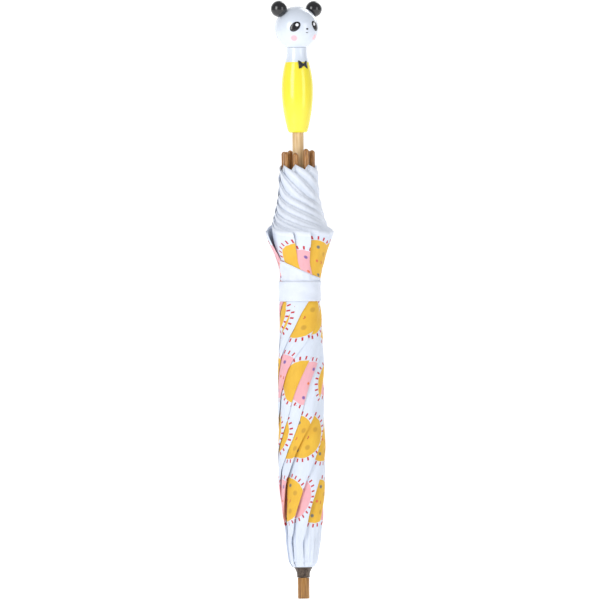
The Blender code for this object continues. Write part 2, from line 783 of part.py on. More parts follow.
def strap_radius():
    """The strap's inner radius: it clears the widest place of the canopy that it goes round."""
    ends = STRAP_BOTTOM, STRAP_BOTTOM + STRAP_WIDTH
    heights, radii = zip(*canopy_profile(), strict=True)
    crossed = [radius for height, radius in canopy_profile() if ends[0] < height < ends[1]]
    return max([*np.interp(ends, heights, radii), *crossed]) + CLEARANCE


def make_strap():
    low = NOTCH_HEIGHT + STRAP_BOTTOM
    high = low + STRAP_WIDTH
    inner = strap_radius()
    outer = inner + STRAP_THICKNESS
    section = ((outer, high), (outer, low), (inner, low), (inner, high))
    turned("strap", section, STRAP_CLOTH, steps=24, closed=True)
    away = outer + CLEARANCE + STUD_HEIGHT / 2
    middle = Matrix.Translation((away, 0, (low + high) / 2)) @ Matrix.Rotation(math.pi / 2, 4, "Y")
    where = round_the_shaft(STUD_PHASE) @ middle
    rod("strap_stud", STUD_RADIUS, STUD_HEIGHT, where, GUNMETAL, 12, UMBRELLA)


make_shaft()
make_tip()
make_cap()
make_washer()
make_notch()
make_runner()
make_wire("notch_wire", NOTCH_HEIGHT)
make_wire("runner_wire", RUNNER_HEIGHT)
make_catches()
make_linkage()
make_handle()
make_head()
make_ears()
make_canopy()
make_strap()
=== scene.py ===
# %% [markdown]
# # A child's rolled umbrella with a panda handle
# The umbrella stands on its wooden tip, rolled up and tied, with the turned panda on top.
# Everything here is in metres and +Z points up the shaft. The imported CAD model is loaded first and
# is never moved. Pieces whose CAD shape is already right get a better finish, and the others get
# a finer mesh in the same place.

# %% Load the frame
import math

import bmesh
import bpy
import numpy as np
from mathutils import Matrix, Vector


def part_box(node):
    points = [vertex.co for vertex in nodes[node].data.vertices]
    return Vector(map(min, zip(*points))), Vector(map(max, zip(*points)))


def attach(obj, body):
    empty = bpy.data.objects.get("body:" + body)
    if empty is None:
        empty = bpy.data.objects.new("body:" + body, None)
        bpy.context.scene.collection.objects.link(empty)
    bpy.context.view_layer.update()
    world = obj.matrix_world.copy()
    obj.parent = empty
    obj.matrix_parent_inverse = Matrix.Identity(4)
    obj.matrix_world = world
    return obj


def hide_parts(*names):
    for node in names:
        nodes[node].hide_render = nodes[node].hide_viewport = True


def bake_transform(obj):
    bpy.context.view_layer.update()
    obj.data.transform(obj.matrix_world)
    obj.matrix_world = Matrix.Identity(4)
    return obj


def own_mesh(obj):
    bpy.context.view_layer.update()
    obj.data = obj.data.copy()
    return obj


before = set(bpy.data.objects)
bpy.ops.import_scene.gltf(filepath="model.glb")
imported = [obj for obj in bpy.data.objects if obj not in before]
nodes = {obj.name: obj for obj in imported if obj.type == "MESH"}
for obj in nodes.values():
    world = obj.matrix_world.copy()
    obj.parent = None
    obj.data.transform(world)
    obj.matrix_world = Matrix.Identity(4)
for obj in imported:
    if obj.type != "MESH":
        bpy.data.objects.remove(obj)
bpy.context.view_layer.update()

MM = 0.001
HANDLE_BODY = "handle_and_shaft"  # the body that never moves

# %% [markdown]
# ## Camera
# A long lens far away keeps a slim object free of perspective. The camera stands a little to one
# side, because the panda looks past it, and a slight roll lets the top lean over.

# %% Camera
VIEW_AZIMUTH = math.radians(-29.0)
CAMERA_DISTANCE = 10.0
FRAME_HEIGHT = 0.660
AIM_HEIGHT = 0.3284
camera_roll = math.radians(0.72)
sensor = 36.0

back = Vector((math.sin(VIEW_AZIMUTH), -math.cos(VIEW_AZIMUTH), 0.0))
camera_data = bpy.data.cameras.new("camera")
camera_data.sensor_width = sensor
camera_data.lens = sensor * CAMERA_DISTANCE / FRAME_HEIGHT
camera = bpy.data.objects.new("camera", camera_data)
camera.location = back * CAMERA_DISTANCE + Vector((0.0, 0.0, AIM_HEIGHT))
camera.rotation_mode = "QUATERNION"
facing = (-back).to_track_quat("-Z", "Y")
camera.rotation_quaternion = facing @ Matrix.Rotation(-camera_roll, 3, "Z").to_quaternion()
bpy.context.scene.collection.objects.link(camera)
bpy.context.scene.camera = camera
print("lens", round(camera_data.lens, 1), "mm")

# %% [markdown]
# ## Materials: colours and nodes
# A colour picker gives sRGB hex values, and shaders want linear light, so one function converts.
# A second one adds any node with its settings and its links. A value that is the output of another
# node becomes a link, anything else is set on the socket.

# %% Colour and node helpers
def paint(hex_colour, alpha=1.0):
    """An sRGB hex colour as linear RGBA."""
    srgb = [int(hex_colour[i : i + 2], 16) / 255 for i in (1, 3, 5)]
    linear = [c / 12.92 if c <= 0.04045 else ((c + 0.055) / 1.055) ** 2.4 for c in srgb]
    return (*linear, alpha)


def add(tree, kind, inputs=None, **settings):
    """A node of this kind, with its settings, and its inputs set or linked."""
    node = tree.nodes.new(kind)
    for name, value in settings.items():
        setattr(node, name, value)
    for name, value in (inputs or {}).items():
        if isinstance(value, bpy.types.NodeSocket):
            tree.links.new(value, node.inputs[name])
        else:
            node.inputs[name].default_value = value
    return node


def new_finish(name):
    """An empty material: (material, its node tree)."""
    material = bpy.data.materials.new(name)
    material.use_nodes = True
    material.node_tree.nodes.clear()
    return material, material.node_tree


print("white is", [round(c, 3) for c in paint("#FFFFFF")])

# %% [markdown]
# ## Floor and light
# A white sweep, flat under the tip and curved up behind, gives a plain pale background. Paper in a
# studio is lit brighter than the object, which a little glow in its material stands in for.
# The light comes from large soft panels: a key at the upper left, a fill on the right, a strip
# behind for the rim, and a bright even surround.

# %% Sweep
SWEEP_NEAR = 3.6
SWEEP_FAR = 2.2
SWEEP_RISE = 1.2
SWEEP_TOP = 4.5
SWEEP_WIDTH = 9.0

white_paper, tree = new_finish("white_studio_paper")
shader = add(
    tree,
    "ShaderNodeBsdfPrincipled",
    {
        "Base Color": paint("#F7F7F7"),
        "Roughness": 0.9,
        "Emission Color": paint("#FFFFFF"),
        "Emission Strength": 0.47,
    },
)
add(tree, "ShaderNodeOutputMaterial", {"Surface": shader.outputs["BSDF"]})


def make_sweep():
    """One sheet of paper: floor, quarter circle and wall, square to the camera."""
    steps = 24
    path = [(-SWEEP_NEAR, 0.0)]
    for i in range(steps + 1):
        turn = math.pi / 2 * i / steps
        path.append((SWEEP_FAR + SWEEP_RISE * math.sin(turn), SWEEP_RISE * (1 - math.cos(turn))))
    path.append((SWEEP_FAR + SWEEP_RISE, SWEEP_TOP))
    away = -back
    side = Vector((math.cos(VIEW_AZIMUTH), math.sin(VIEW_AZIMUTH), 0.0))
    rows = [
        [away * y + side * x + Vector((0, 0, z)) for x in (-SWEEP_WIDTH / 2, SWEEP_WIDTH / 2)]
        for y, z in path
    ]
    points = [tuple(p) for row in rows for p in row]
    faces = [(2 * i, 2 * i + 1, 2 * i + 3, 2 * i + 2) for i in range(len(path) - 1)]
    mesh = bpy.data.meshes.new("paper_sweep")
    mesh.from_pydata(points, [], faces)
    mesh.materials.append(white_paper)
    mesh.shade_smooth()
    sweep = bpy.data.objects.new("paper_sweep", mesh)
    bpy.context.scene.collection.objects.link(sweep)
    return sweep


make_sweep()

# %% Soft lights
# name: (azimuth from the camera, height, distance, width, height of the panel, watts)
LIGHTS = {
    "key_panel": (-38.0, 0.95, 1.7, 0.8, 1.2, 13.5),
    "fill_panel": (48.0, 0.75, 1.9, 0.7, 1.2, 6.0),
    "rim_panel": (150.0, 1.5, 1.3, 0.6, 1.2, 8.0),
}
for name, (azimuth, height, distance, width, tall, watts) in LIGHTS.items():
    light_data = bpy.data.lights.new(name, "AREA")
    light_data.shape = "RECTANGLE"
    light_data.size, light_data.size_y = width, tall
    light_data.energy = watts
    light = bpy.data.objects.new(name, light_data)
    turn = VIEW_AZIMUTH + math.radians(azimuth)
    light.location = (distance * math.sin(turn), -distance * math.cos(turn), height)
    towards = Vector((0, 0, 0.40)) - light.location
    light.rotation_mode = "QUATERNION"
    light.rotation_quaternion = towards.to_track_quat("-Z", "Y")
    bpy.context.scene.collection.objects.link(light)

world = bpy.data.worlds.new("studio_surround")
world.use_nodes = True
world.node_tree.nodes.clear()
surround = add(world.node_tree, "ShaderNodeBackground", {"Color": paint("#F4F6FA"), "Strength": 0.48})
add(world.node_tree, "ShaderNodeOutputWorld", {"Surface": surround.outputs["Background"]})
bpy.context.scene.world = world
bpy.context.scene.view_settings.view_transform = "Standard"
print(len(LIGHTS), "soft panels")

# %% [markdown]
# ## Turning
# The tip, the cap, the shaft, the body and the head are all turned on a lathe. In code a lathe is a
# profile of (radius, height) pairs that is carried once round the Z axis. A profile point on the
# axis becomes one vertex, so poles stay closed. 96 steps round is smooth even in a close view.

# %% A lathe
TURNING_STEPS = 96


def show(name, mesh, material, smooth=30.0):
    """A new object with this mesh and material; edges sharper than the angle stay sharp."""
    mesh.materials.clear()
    mesh.materials.append(material)
    obj = bpy.data.objects.new(name, mesh)
    bpy.context.scene.collection.objects.link(obj)
    mesh.shade_smooth()
    mesh.set_sharp_from_angle(angle=math.radians(smooth))
    return obj


def skinned(name, rings, material, ring=False, smooth=30.0):
    """A mesh through rings of points, where a ring of one point is a pole; ring=True joins the
    last ring to the first."""
    work = bmesh.new()
    steps = max(len(points) for points in rings)
    rows = []
    for points in rings:
        row = [work.verts.new(point) for point in points]
        rows.append(row * steps if len(row) == 1 else row)
    pairs = list(zip(rows, rows[1:])) + ([(rows[-1], rows[0])] if ring else [])
    for low, high in pairs:
        for k in range(steps):
            corners = [low[k], low[(k + 1) % steps], high[(k + 1) % steps], high[k]]
            unique = list(dict.fromkeys(corners))
            if len(unique) > 2:
                work.faces.new(unique)
    bmesh.ops.recalc_face_normals(work, faces=work.faces)
    mesh = bpy.data.meshes.new(name)
    work.to_mesh(mesh)
    work.free()
    return show(name, mesh, material, smooth)


def turn(name, profile, material, ring=False, steps=TURNING_STEPS, smooth=30.0):
    """Turns a profile of (radius, height) pairs; ring=True joins its last point to its first."""
    angles = [2 * math.pi * k / steps for k in range(steps)]
    rings = [
        [(0, 0, z)] if r < 1e-7 else [(r * math.cos(a), r * math.sin(a), z) for a in angles]
        for r, z in profile
    ]
    return skinned(name, rings, material, ring, smooth)


def rounded(profile, radius, steps=4):
    """The same profile with its inner corners rounded, as sandpaper leaves them."""
    result = [profile[0]]
    for before, corner, after in zip(profile, profile[1:], profile[2:]):
        b, c, a = (Vector(p) for p in (before, corner, after))
        reach = min(radius, (b - c).length * 0.45, (a - c).length * 0.45)
        start, end = c + (b - c).normalized() * reach, c + (a - c).normalized() * reach
        for i in range(steps + 1):
            t = i / steps
            point = start * (1 - t) ** 2 + c * 2 * t * (1 - t) + end * t**2
            result.append(tuple(point))
    result.append(profile[-1])
    return result


# %% [markdown]
# ## Wood
# The shaft is pale beech under a satin varnish. The eye sees fine darker streaks along the grain
# and short pale flecks. The streaks are noise that is squeezed across the grain, about
# 1 mm wide and 40 mm long. The tip and the rib ends are stained darker, with stronger streaks.

# %% Wood finishes
def wood(name, colours, streak_width, streak_length, roughness, contrast=(0.35, 0.68)):
    """Varnished wood with its grain along Z: dark, middle and light colours in a ramp."""
    material, tree = new_finish(name)
    place = add(tree, "ShaderNodeTexCoord").outputs["Object"]
    across, along = 1 / streak_width, 1 / streak_length
    grain_space = add(tree, "ShaderNodeMapping", {"Vector": place, "Scale": (across, across, along)})
    streaks = add(
        tree,
        "ShaderNodeTexNoise",
        {"Vector": grain_space.outputs[0], "Scale": 1.0, "Detail": 4.0, "Roughness": 0.6},
    )
    pore_space = add(
        tree,
        "ShaderNodeMapping",
        {"Vector": place, "Scale": (across * 3, across * 3, along * 4)},
    )
    pores = add(
        tree,
        "ShaderNodeTexNoise",
        {"Vector": pore_space.outputs[0], "Scale": 1.0, "Detail": 2.0},
    )
    ramp = add(tree, "ShaderNodeValToRGB", {"Fac": streaks.outputs["Fac"]})
    stops = ramp.color_ramp.elements
    stops[0].position, stops[0].color = contrast[0], paint(colours[0])
    stops[1].position, stops[1].color = contrast[1], paint(colours[2])
    middle = stops.new((contrast[0] + contrast[1]) / 2)
    middle.color = paint(colours[1])
    fleck = add(
        tree,
        "ShaderNodeMapRange",
        {"Value": pores.outputs["Fac"], "From Min": 0.56, "From Max": 0.72, "To Max": 0.35},
    )
    colour = add(
        tree,
        "ShaderNodeMix",
        {"Factor": fleck.outputs[0], 6: ramp.outputs["Color"], 7: paint(colours[0])},
        data_type="RGBA",
    )
    relief = add(
        tree,
        "ShaderNodeBump",
        {"Strength": 0.25, "Distance": 0.0002, "Height": streaks.outputs["Fac"]},
    )
    shader = add(
        tree,
        "ShaderNodeBsdfPrincipled",
        {
            "Base Color": colour.outputs[2],
            "Roughness": roughness,
            "Coat Weight": 0.35,
            "Coat Roughness": 0.2,
            "Normal": relief.outputs["Normal"],
        },
    )
    add(tree, "ShaderNodeOutputMaterial", {"Surface": shader.outputs["BSDF"]})
    return material


pale_beech = wood("varnished_beech", ("#BE9660", "#DDBA86", "#F0D8AE"), 0.0011, 0.045, 0.42)
stained_tip = wood("stained_bamboo", ("#6E4413", "#A4712E", "#C99A55"), 0.0009, 0.030, 0.38)
stained_end = wood("stained_beech", ("#6A3E14", "#A9743A", "#C6955A"), 0.0009, 0.012, 0.32)

# %% [markdown]
# ## Tip, cap and shaft
# The tip is a plain dowel whose edges wear round. The cap is a spun cup of dark bronze that flares
# over the gathered cloth. The shaft goes right up into the handle, with two slots sawn in it for
# the spring catches, which a Boolean modifier cuts here as the saw does.

# %% Tip
tip_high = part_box("wooden_tip")[1]
TIP_RADIUS = tip_high.x
SPIGOT_SOCKET = (4.3 * MM, 9.0 * MM)  # radius, height of its floor
tip_profile = rounded(
    [
        (0.0, 0.0),
        (TIP_RADIUS, 0.0),
        (TIP_RADIUS, tip_high.z),
        (SPIGOT_SOCKET[0], tip_high.z),
        (SPIGOT_SOCKET[0], SPIGOT_SOCKET[1]),
        (0.0, SPIGOT_SOCKET[1]),
    ],
    0.8 * MM,
)
tip = turn("wooden_tip_turned", tip_profile, stained_tip, smooth=50)
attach(tip, HANDLE_BODY)
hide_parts("wooden_tip")
print("tip", round(TIP_RADIUS * 2000, 1), "mm across")

# %% Cap
bronze, tree = new_finish("dark_bronze_plating")
# Plated brass under a dark lacquer: brown-black, with a soft wide gloss and rubbed lighter patches.
place = add(tree, "ShaderNodeTexCoord").outputs["Object"]
rub = add(tree, "ShaderNodeTexNoise", {"Vector": place, "Scale": 260.0, "Detail": 3.0})
rub_ramp = add(tree, "ShaderNodeValToRGB", {"Fac": rub.outputs["Fac"]})
rub_ramp.color_ramp.elements[0].position, rub_ramp.color_ramp.elements[1].position = 0.4, 0.75
rub_ramp.color_ramp.elements[0].color = paint("#3A2F28")
rub_ramp.color_ramp.elements[1].color = paint("#6F5F52")
rub_gloss = add(tree, "ShaderNodeMapRange", {"Value": rub.outputs["Fac"], "To Min": 0.28, "To Max": 0.45})
shader = add(
    tree,
    "ShaderNodeBsdfPrincipled",
    {
        "Base Color": rub_ramp.outputs["Color"],
        "Metallic": 0.85,
        "Roughness": rub_gloss.outputs[0],
        "Coat Weight": 0.4,
        "Coat Roughness": 0.15,
    },
)
add(tree, "ShaderNodeOutputMaterial", {"Surface": shader.outputs["BSDF"]})

cap_low, cap_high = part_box("ferrule_cap")
CAP_FOOT_RADIUS = 7.1 * MM
CAP_BORE = 6.5 * MM
CAP_WALL = 0.6 * MM
cap_height = cap_high.z - cap_low.z
flare = [
    (
        CAP_FOOT_RADIUS + (cap_high.x - CAP_FOOT_RADIUS) * (i / 16) ** 2,
        cap_low.z + cap_height * (0.25 + 0.75 * i / 16),
    )
    for i in range(17)
]
inside = [(r - CAP_WALL, z) for r, z in reversed(flare[8:])]
cap_profile = [
    (CAP_FOOT_RADIUS - 0.3 * MM, cap_low.z),
    (CAP_FOOT_RADIUS, cap_low.z + 0.3 * MM),
    *flare[:-1],
    (cap_high.x, cap_high.z - 0.25 * MM),
    (cap_high.x - 0.15 * MM, cap_high.z),
    *inside,
    (CAP_BORE, inside[-1][1] - 0.5 * MM),
    (CAP_BORE, cap_low.z),
]
cap = turn("ferrule_cap_spun", cap_profile, bronze, ring=True)
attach(cap, HANDLE_BODY)
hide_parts("ferrule_cap")

# %% Shaft
shaft_low, shaft_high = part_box("shaft")
SHAFT_RADIUS = shaft_high.x
SPIGOT_RADIUS = 4.0 * MM
SLOT_WIDTH = 2.6 * MM
CATCH_ANGLE = math.radians(27.5)


def settle(obj):
    """Turns the evaluated object into its plain mesh and removes the modifiers."""
    bpy.context.view_layer.update()
    graph = bpy.context.evaluated_depsgraph_get()
    mesh = bpy.data.meshes.new_from_object(
        obj.evaluated_get(graph), preserve_all_data_layers=True, depsgraph=graph
    )
    obj.modifiers.clear()
    obj.data = mesh
    mesh.name = obj.name
    return obj


def make_shaft():
    seat = tip_high.z + 0.3 * MM
    profile = [
        (0.0, shaft_low.z),
        (SPIGOT_RADIUS, shaft_low.z),
        (SPIGOT_RADIUS, seat),
        (SHAFT_RADIUS, seat),
        (SHAFT_RADIUS, shaft_high.z),
        (0.0, shaft_high.z),
    ]
    shaft = turn("shaft_turned", profile, pale_beech)
    for catch in ("closed_catch", "open_catch"):
        low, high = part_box(catch)
        cutter = bpy.data.objects.new(catch + "_slot", bpy.data.meshes.new(catch + "_slot"))
        work = bmesh.new()
        bmesh.ops.create_cube(work, size=1.0)
        middle, length = (low.z + high.z) / 2, high.z - low.z + 2 * MM
        size = Matrix.Diagonal((SHAFT_RADIUS + MM, SLOT_WIDTH, length, 1.0))
        shift = Matrix.Translation(((SHAFT_RADIUS + MM) / 2 + 0.4 * MM, 0, middle))
        work.transform(Matrix.Rotation(CATCH_ANGLE, 4, "Z") @ shift @ size)
        work.to_mesh(cutter.data)
        work.free()
        bpy.context.scene.collection.objects.link(cutter)
        cut = shaft.modifiers.new(catch, "BOOLEAN")
        cut.operation, cut.object, cut.solver = "DIFFERENCE", cutter, "EXACT"
    settle(shaft)
    for catch in ("closed_catch", "open_catch"):
        bpy.data.objects.remove(bpy.data.objects[catch + "_slot"])
    return shaft


shaft = make_shaft()
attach(shaft, HANDLE_BODY)
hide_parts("shaft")
print("shaft", len(shaft.data.polygons), "faces")

# %% [markdown]
# ## Steel parts
# The ribs, stretchers, notch, runner, catches and wires are pressed or drawn steel with a thin bright
# nickel plating. They show only inside, and all of them when the umbrella is open. Their CAD meshes
# are right, so only their finish is added: fine lengthwise drawing lines and a few dull spots.

# %% Plated steel
steel, tree = new_finish("nickel_plated_steel")
place = add(tree, "ShaderNodeTexCoord").outputs["Object"]
drawn_space = add(tree, "ShaderNodeMapping", {"Vector": place, "Scale": (2500.0, 2500.0, 60.0)})
drawn = add(tree, "ShaderNodeTexNoise", {"Vector": drawn_space.outputs[0], "Scale": 1.0})
spots = add(tree, "ShaderNodeTexNoise", {"Vector": place, "Scale": 90.0, "Detail": 4.0})
spot_ramp = add(tree, "ShaderNodeValToRGB", {"Fac": spots.outputs["Fac"]})
spot_ramp.color_ramp.elements[0].color = paint("#A8A9AC")
spot_ramp.color_ramp.elements[1].color = paint("#D4D4D2")
spot_gloss = add(
    tree, "ShaderNodeMapRange", {"Value": spots.outputs["Fac"], "To Min": 0.22, "To Max": 0.42}
)
lines = add(
    tree,
    "ShaderNodeBump",
    {"Strength": 0.15, "Distance": 0.00005, "Height": drawn.outputs["Fac"]},
)
shader = add(
    tree,
    "ShaderNodeBsdfPrincipled",
    {
        "Base Color": spot_ramp.outputs["Color"],
        "Metallic": 1.0,
        "Roughness": spot_gloss.outputs[0],
        "Normal": lines.outputs["Normal"],
    },
)
add(tree, "ShaderNodeOutputMaterial", {"Surface": shader.outputs["BSDF"]})
steel_names = ["top_notch", "notch_wire", "runner", "runner_wire", "closed_catch", "open_catch"]
steel_names += ["stop_pin"]
steel_names += [f"{part}_{n}" for part in ("rib", "rivet", "stretcher") for n in range(1, 9)]
for name in steel_names:
    nodes[name].data.materials.clear()
    nodes[name].data.materials.append(steel)
print(len(steel_names), "steel parts")

# %% [markdown]
# ## Wooden rib ends
# Each rib carries a small turned bead of stained wood with a round nose. Eight copies of one rule
# are a job for Geometry Nodes: a line along the rib gets a radius that follows a circle at
# the nose, and Curve to Mesh carries a ring along it. The tree is evaluated once for each rib,
# because each bead moves with its own rib.

# %% Rib end tree
def new_tree(name, sizes):
    """A Geometry Nodes tree with a mesh in and out and these named inputs."""
    tree = bpy.data.node_groups.new(name, "GeometryNodeTree")
    tree.interface.new_socket("Geometry", in_out="INPUT", socket_type="NodeSocketGeometry")
    for label, kind, value in sizes:
        socket = tree.interface.new_socket(label, in_out="INPUT", socket_type=kind)
        if value is not None:
            socket.default_value = value
    tree.interface.new_socket("Geometry", in_out="OUTPUT", socket_type="NodeSocketGeometry")
    return tree, add(tree, "NodeGroupInput")


def end_tree(tree, geometry, material):
    """The last nodes of a tree: real geometry, with its material."""
    real = add(tree, "GeometryNodeRealizeInstances", {"Geometry": geometry})
    painted = add(tree, "GeometryNodeSetMaterial", {"Geometry": real.outputs[0], "Material": material})
    add(tree, "NodeGroupOutput", {"Geometry": painted.outputs[0]})


def grown(name, tree, values, start_mesh=None):
    """A new object that this tree makes with these input values, as a plain mesh."""
    obj = bpy.data.objects.new(name, start_mesh or bpy.data.meshes.new(name))
    bpy.context.scene.collection.objects.link(obj)
    modifier = obj.modifiers.new(tree.name, "NODES")
    modifier.node_group = tree
    for item in tree.interface.items_tree:
        if item.item_type == "SOCKET" and item.in_out == "INPUT" and item.name in values:
            modifier[item.identifier] = values[item.name]
    return settle(obj)


bead_tree, sizes = new_tree(
    "turned_rib_end",
    (
        ("Foot", "NodeSocketVector", None),
        ("Nose", "NodeSocketVector", None),
        ("Radius", "NodeSocketFloat", 0.003),
        ("Nose Share", "NodeSocketFloat", 0.16),
        ("Rim Share", "NodeSocketFloat", 0.03),
        ("Material", "NodeSocketMaterial", None),
    ),
)
line = add(
    bead_tree,
    "GeometryNodeCurvePrimitiveLine",
    {"Start": sizes.outputs["Foot"], "End": sizes.outputs["Nose"]},
)
stations = add(bead_tree, "GeometryNodeResampleCurve", {"Curve": line.outputs[0], "Count": 60})
along = add(bead_tree, "GeometryNodeSplineParameter")
# nose: sqrt(1 - t^2) where t runs from 0 at the shoulder to 1 at the tip
left = add(bead_tree, "ShaderNodeMath", {0: 1.0, 1: along.outputs["Factor"]}, operation="SUBTRACT")
near = add(
    bead_tree,
    "ShaderNodeMapRange",
    {
        "Value": left.outputs[0],
        "From Min": 0.0,
        "From Max": sizes.outputs["Nose Share"],
        "To Min": 1.0,
        "To Max": 0.0,
    },
)
square = add(bead_tree, "ShaderNodeMath", {0: near.outputs[0], 1: 2.0}, operation="POWER")
rest = add(bead_tree, "ShaderNodeMath", {0: 1.0, 1: square.outputs[0]}, operation="SUBTRACT")
dome = add(bead_tree, "ShaderNodeMath", {0: rest.outputs[0]}, operation="SQRT")
rim = add(
    bead_tree,
    "ShaderNodeMapRange",
    {
        "Value": along.outputs["Factor"],
        "From Max": sizes.outputs["Rim Share"],
        "To Min": 0.86,
        "To Max": 1.0,
    },
    interpolation_type="SMOOTHSTEP",
)
both = add(bead_tree, "ShaderNodeMath", {0: dome.outputs[0], 1: rim.outputs[0]}, operation="MULTIPLY")
radius = add(
    bead_tree, "ShaderNodeMath", {0: both.outputs[0], 1: sizes.outputs["Radius"]}, operation="MULTIPLY"
)
kept = add(bead_tree, "ShaderNodeMath", {0: radius.outputs[0], 1: 0.00004}, operation="MAXIMUM")
ring = add(bead_tree, "GeometryNodeCurvePrimitiveCircle", {"Resolution": 32, "Radius": 1.0})
carried = add(
    bead_tree,
    "GeometryNodeCurveToMesh",
    {
        "Curve": stations.outputs[0],
        "Profile Curve": ring.outputs[0],
        "Scale": kept.outputs[0],
        "Fill Caps": True,
    },
)
end_tree(bead_tree, carried.outputs[0], sizes.outputs["Material"])

# %% Eight rib ends
RIB_COUNT = 8
RIB_PHASE = math.radians(5.0)
PIVOT_RADIUS = 9.4 * MM
NOTCH_HEIGHT = 40.0 * MM
LEAN = math.radians(0.66348)
END_FROM, END_TO = 431.5 * MM, 450.5 * MM  # along the rib, from its pivot
END_RADIUS = 3.15 * MM
END_OFFSET = 1.0 * MM
# how much further out each nose was turned than the shortest one, in mm
END_VARIES = (2.0, 3.4, 3.0, 1.5, 1.1, 0.0, 4.2, 2.8)


def rib_angle(number):
    """The direction of rib 1 to 8 round the shaft."""
    return RIB_PHASE + 2 * math.pi * (number - 1) / RIB_COUNT


def on_rib(number, distance, outwards):
    """A point this far along a closed rib, and this far outside its pivot line."""
    radius = PIVOT_RADIUS + distance * math.sin(LEAN) + outwards * math.cos(LEAN)
    height = NOTCH_HEIGHT + distance * math.cos(LEAN) - outwards * math.sin(LEAN)
    angle = rib_angle(number)
    return Vector((radius * math.cos(angle), radius * math.sin(angle), height))


for number in range(1, RIB_COUNT + 1):
    nose_at = END_TO + END_VARIES[number - 1] * MM
    bead = grown(
        f"rib_end_bead_{number}",
        bead_tree,
        {
            "Foot": on_rib(number, END_FROM, END_OFFSET),
            "Nose": on_rib(number, nose_at, END_OFFSET),
            "Radius": END_RADIUS,
            "Nose Share": 1.15 * END_RADIUS / (nose_at - END_FROM),
            "Rim Share": 0.04,
            "Material": stained_end,
        },
    )
    bead.data.shade_smooth()
    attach(bead, f"rib_{number}_arm")
    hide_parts(f"rib_end_{number}")
print("rib ends:", len(bead.data.polygons), "faces each")

# %% [markdown]
# ## Lacquered handle
# The handle is turned wood under several coats of glossy lacquer: a yellow body with a white neck,
# a white ball for a head and two black balls for ears. Lacquer is an even colour under a clear
# gloss, and the eye sees it by its soft reflections and a faint orange peel from the spray gun.
# The two colours of the body meet at a masked line, which a material finds from the height.

# %% Lacquer finishes
def lacquer(name, under, upper=None, line=0.0, roughness=0.22, patches=()):
    """Sprayed lacquer. upper is the colour above the masked line, and patches are soft sprayed
    spots: (centre, radius, soft edge, colour)."""
    material, tree = new_finish(name)
    place = add(tree, "ShaderNodeTexCoord").outputs["Object"]
    # Slight clouding of the colour, some 12 mm across, as thick and thin places of the coat give.
    cloud = add(tree, "ShaderNodeTexNoise", {"Vector": place, "Scale": 80.0, "Detail": 2.0})
    shift = add(
        tree, "ShaderNodeMapRange", {"Value": cloud.outputs["Fac"], "To Min": 0.97, "To Max": 1.02}
    )
    # Orange peel: dimples about 1.5 mm across and a few hundredths deep.
    peel = add(tree, "ShaderNodeTexNoise", {"Vector": place, "Scale": 650.0, "Detail": 1.0})
    dimples = add(
        tree, "ShaderNodeBump", {"Strength": 0.05, "Distance": 0.0002, "Height": peel.outputs["Fac"]}
    )
    result = paint(under)
    if upper:
        parts = add(tree, "ShaderNodeSeparateXYZ", {"Vector": place})
        masked = add(
            tree,
            "ShaderNodeMapRange",
            {"Value": parts.outputs["Z"], "From Min": line - 0.15 * MM, "From Max": line + 0.15 * MM},
        )
        two = add(
            tree,
            "ShaderNodeMix",
            {"Factor": masked.outputs[0], 6: result, 7: paint(upper)},
            data_type="RGBA",
        )
        result = two.outputs[2]
    for centre, radius, edge, tint in patches:
        away = add(tree, "ShaderNodeVectorMath", {0: place, 1: centre}, operation="DISTANCE")
        spot = add(
            tree,
            "ShaderNodeMapRange",
            {"Value": away.outputs["Value"], "From Min": radius + edge, "From Max": radius - edge},
            interpolation_type="SMOOTHSTEP",
        )
        sprayed = add(
            tree,
            "ShaderNodeMix",
            {"Factor": spot.outputs[0], 6: result, 7: paint(tint)},
            data_type="RGBA",
        )
        result = sprayed.outputs[2]
    shaded = add(
        tree,
        "ShaderNodeMix",
        {"Factor": 1.0, 6: result, 7: shift.outputs[0]},
        data_type="RGBA",
        blend_type="MULTIPLY",
    )
    shader = add(
        tree,
        "ShaderNodeBsdfPrincipled",
        {
            "Base Color": shaded.outputs[2],
            "Roughness": roughness,
            "IOR": 1.5,
            "Coat Weight": 0.6,
            "Coat Roughness": 0.11,
            "Normal": dimples.outputs["Normal"],
        },
    )
    add(tree, "ShaderNodeOutputMaterial", {"Surface": shader.outputs["BSDF"]})
    return material


# %% Handle body
HANDLE_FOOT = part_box("handle_body")[0].z
FOOT_RADIUS = 10.3 * MM
FOOT_ROUND = 1.6 * MM
WAIST_RADIUS, WAIST_HEIGHT = 17.3 * MM, 48.0 * MM
UPPER_CURVE = 4.9
SHOULDER_HEIGHT, NECK_HEIGHT, NECK_TOP = 79.0 * MM, 89.0 * MM, 93.3 * MM
NECK_RADIUS = 10.9 * MM
DOWEL_RADIUS, DOWEL_LENGTH = 5.0 * MM, 11.0 * MM
HANDLE_BORE, HANDLE_BORE_DEPTH = 6.5 * MM, 45.0 * MM
PAINT_LINE = 590.0 * MM


def body_radius(height):
    """The body's radius at this height above its foot: two parabolas, then a rounded neck."""
    rise = height - WAIST_HEIGHT
    if rise <= 0:
        return WAIST_RADIUS - (WAIST_RADIUS - FOOT_RADIUS) * (rise / WAIST_HEIGHT) ** 2
    if height <= SHOULDER_HEIGHT:
        return WAIST_RADIUS - UPPER_CURVE * rise**2
    shoulder = WAIST_RADIUS - UPPER_CURVE * (SHOULDER_HEIGHT - WAIST_HEIGHT) ** 2
    share = min((height - SHOULDER_HEIGHT) / (NECK_HEIGHT - SHOULDER_HEIGHT), 1.0)
    return shoulder + (NECK_RADIUS - shoulder) * math.sin(math.pi / 2 * share)


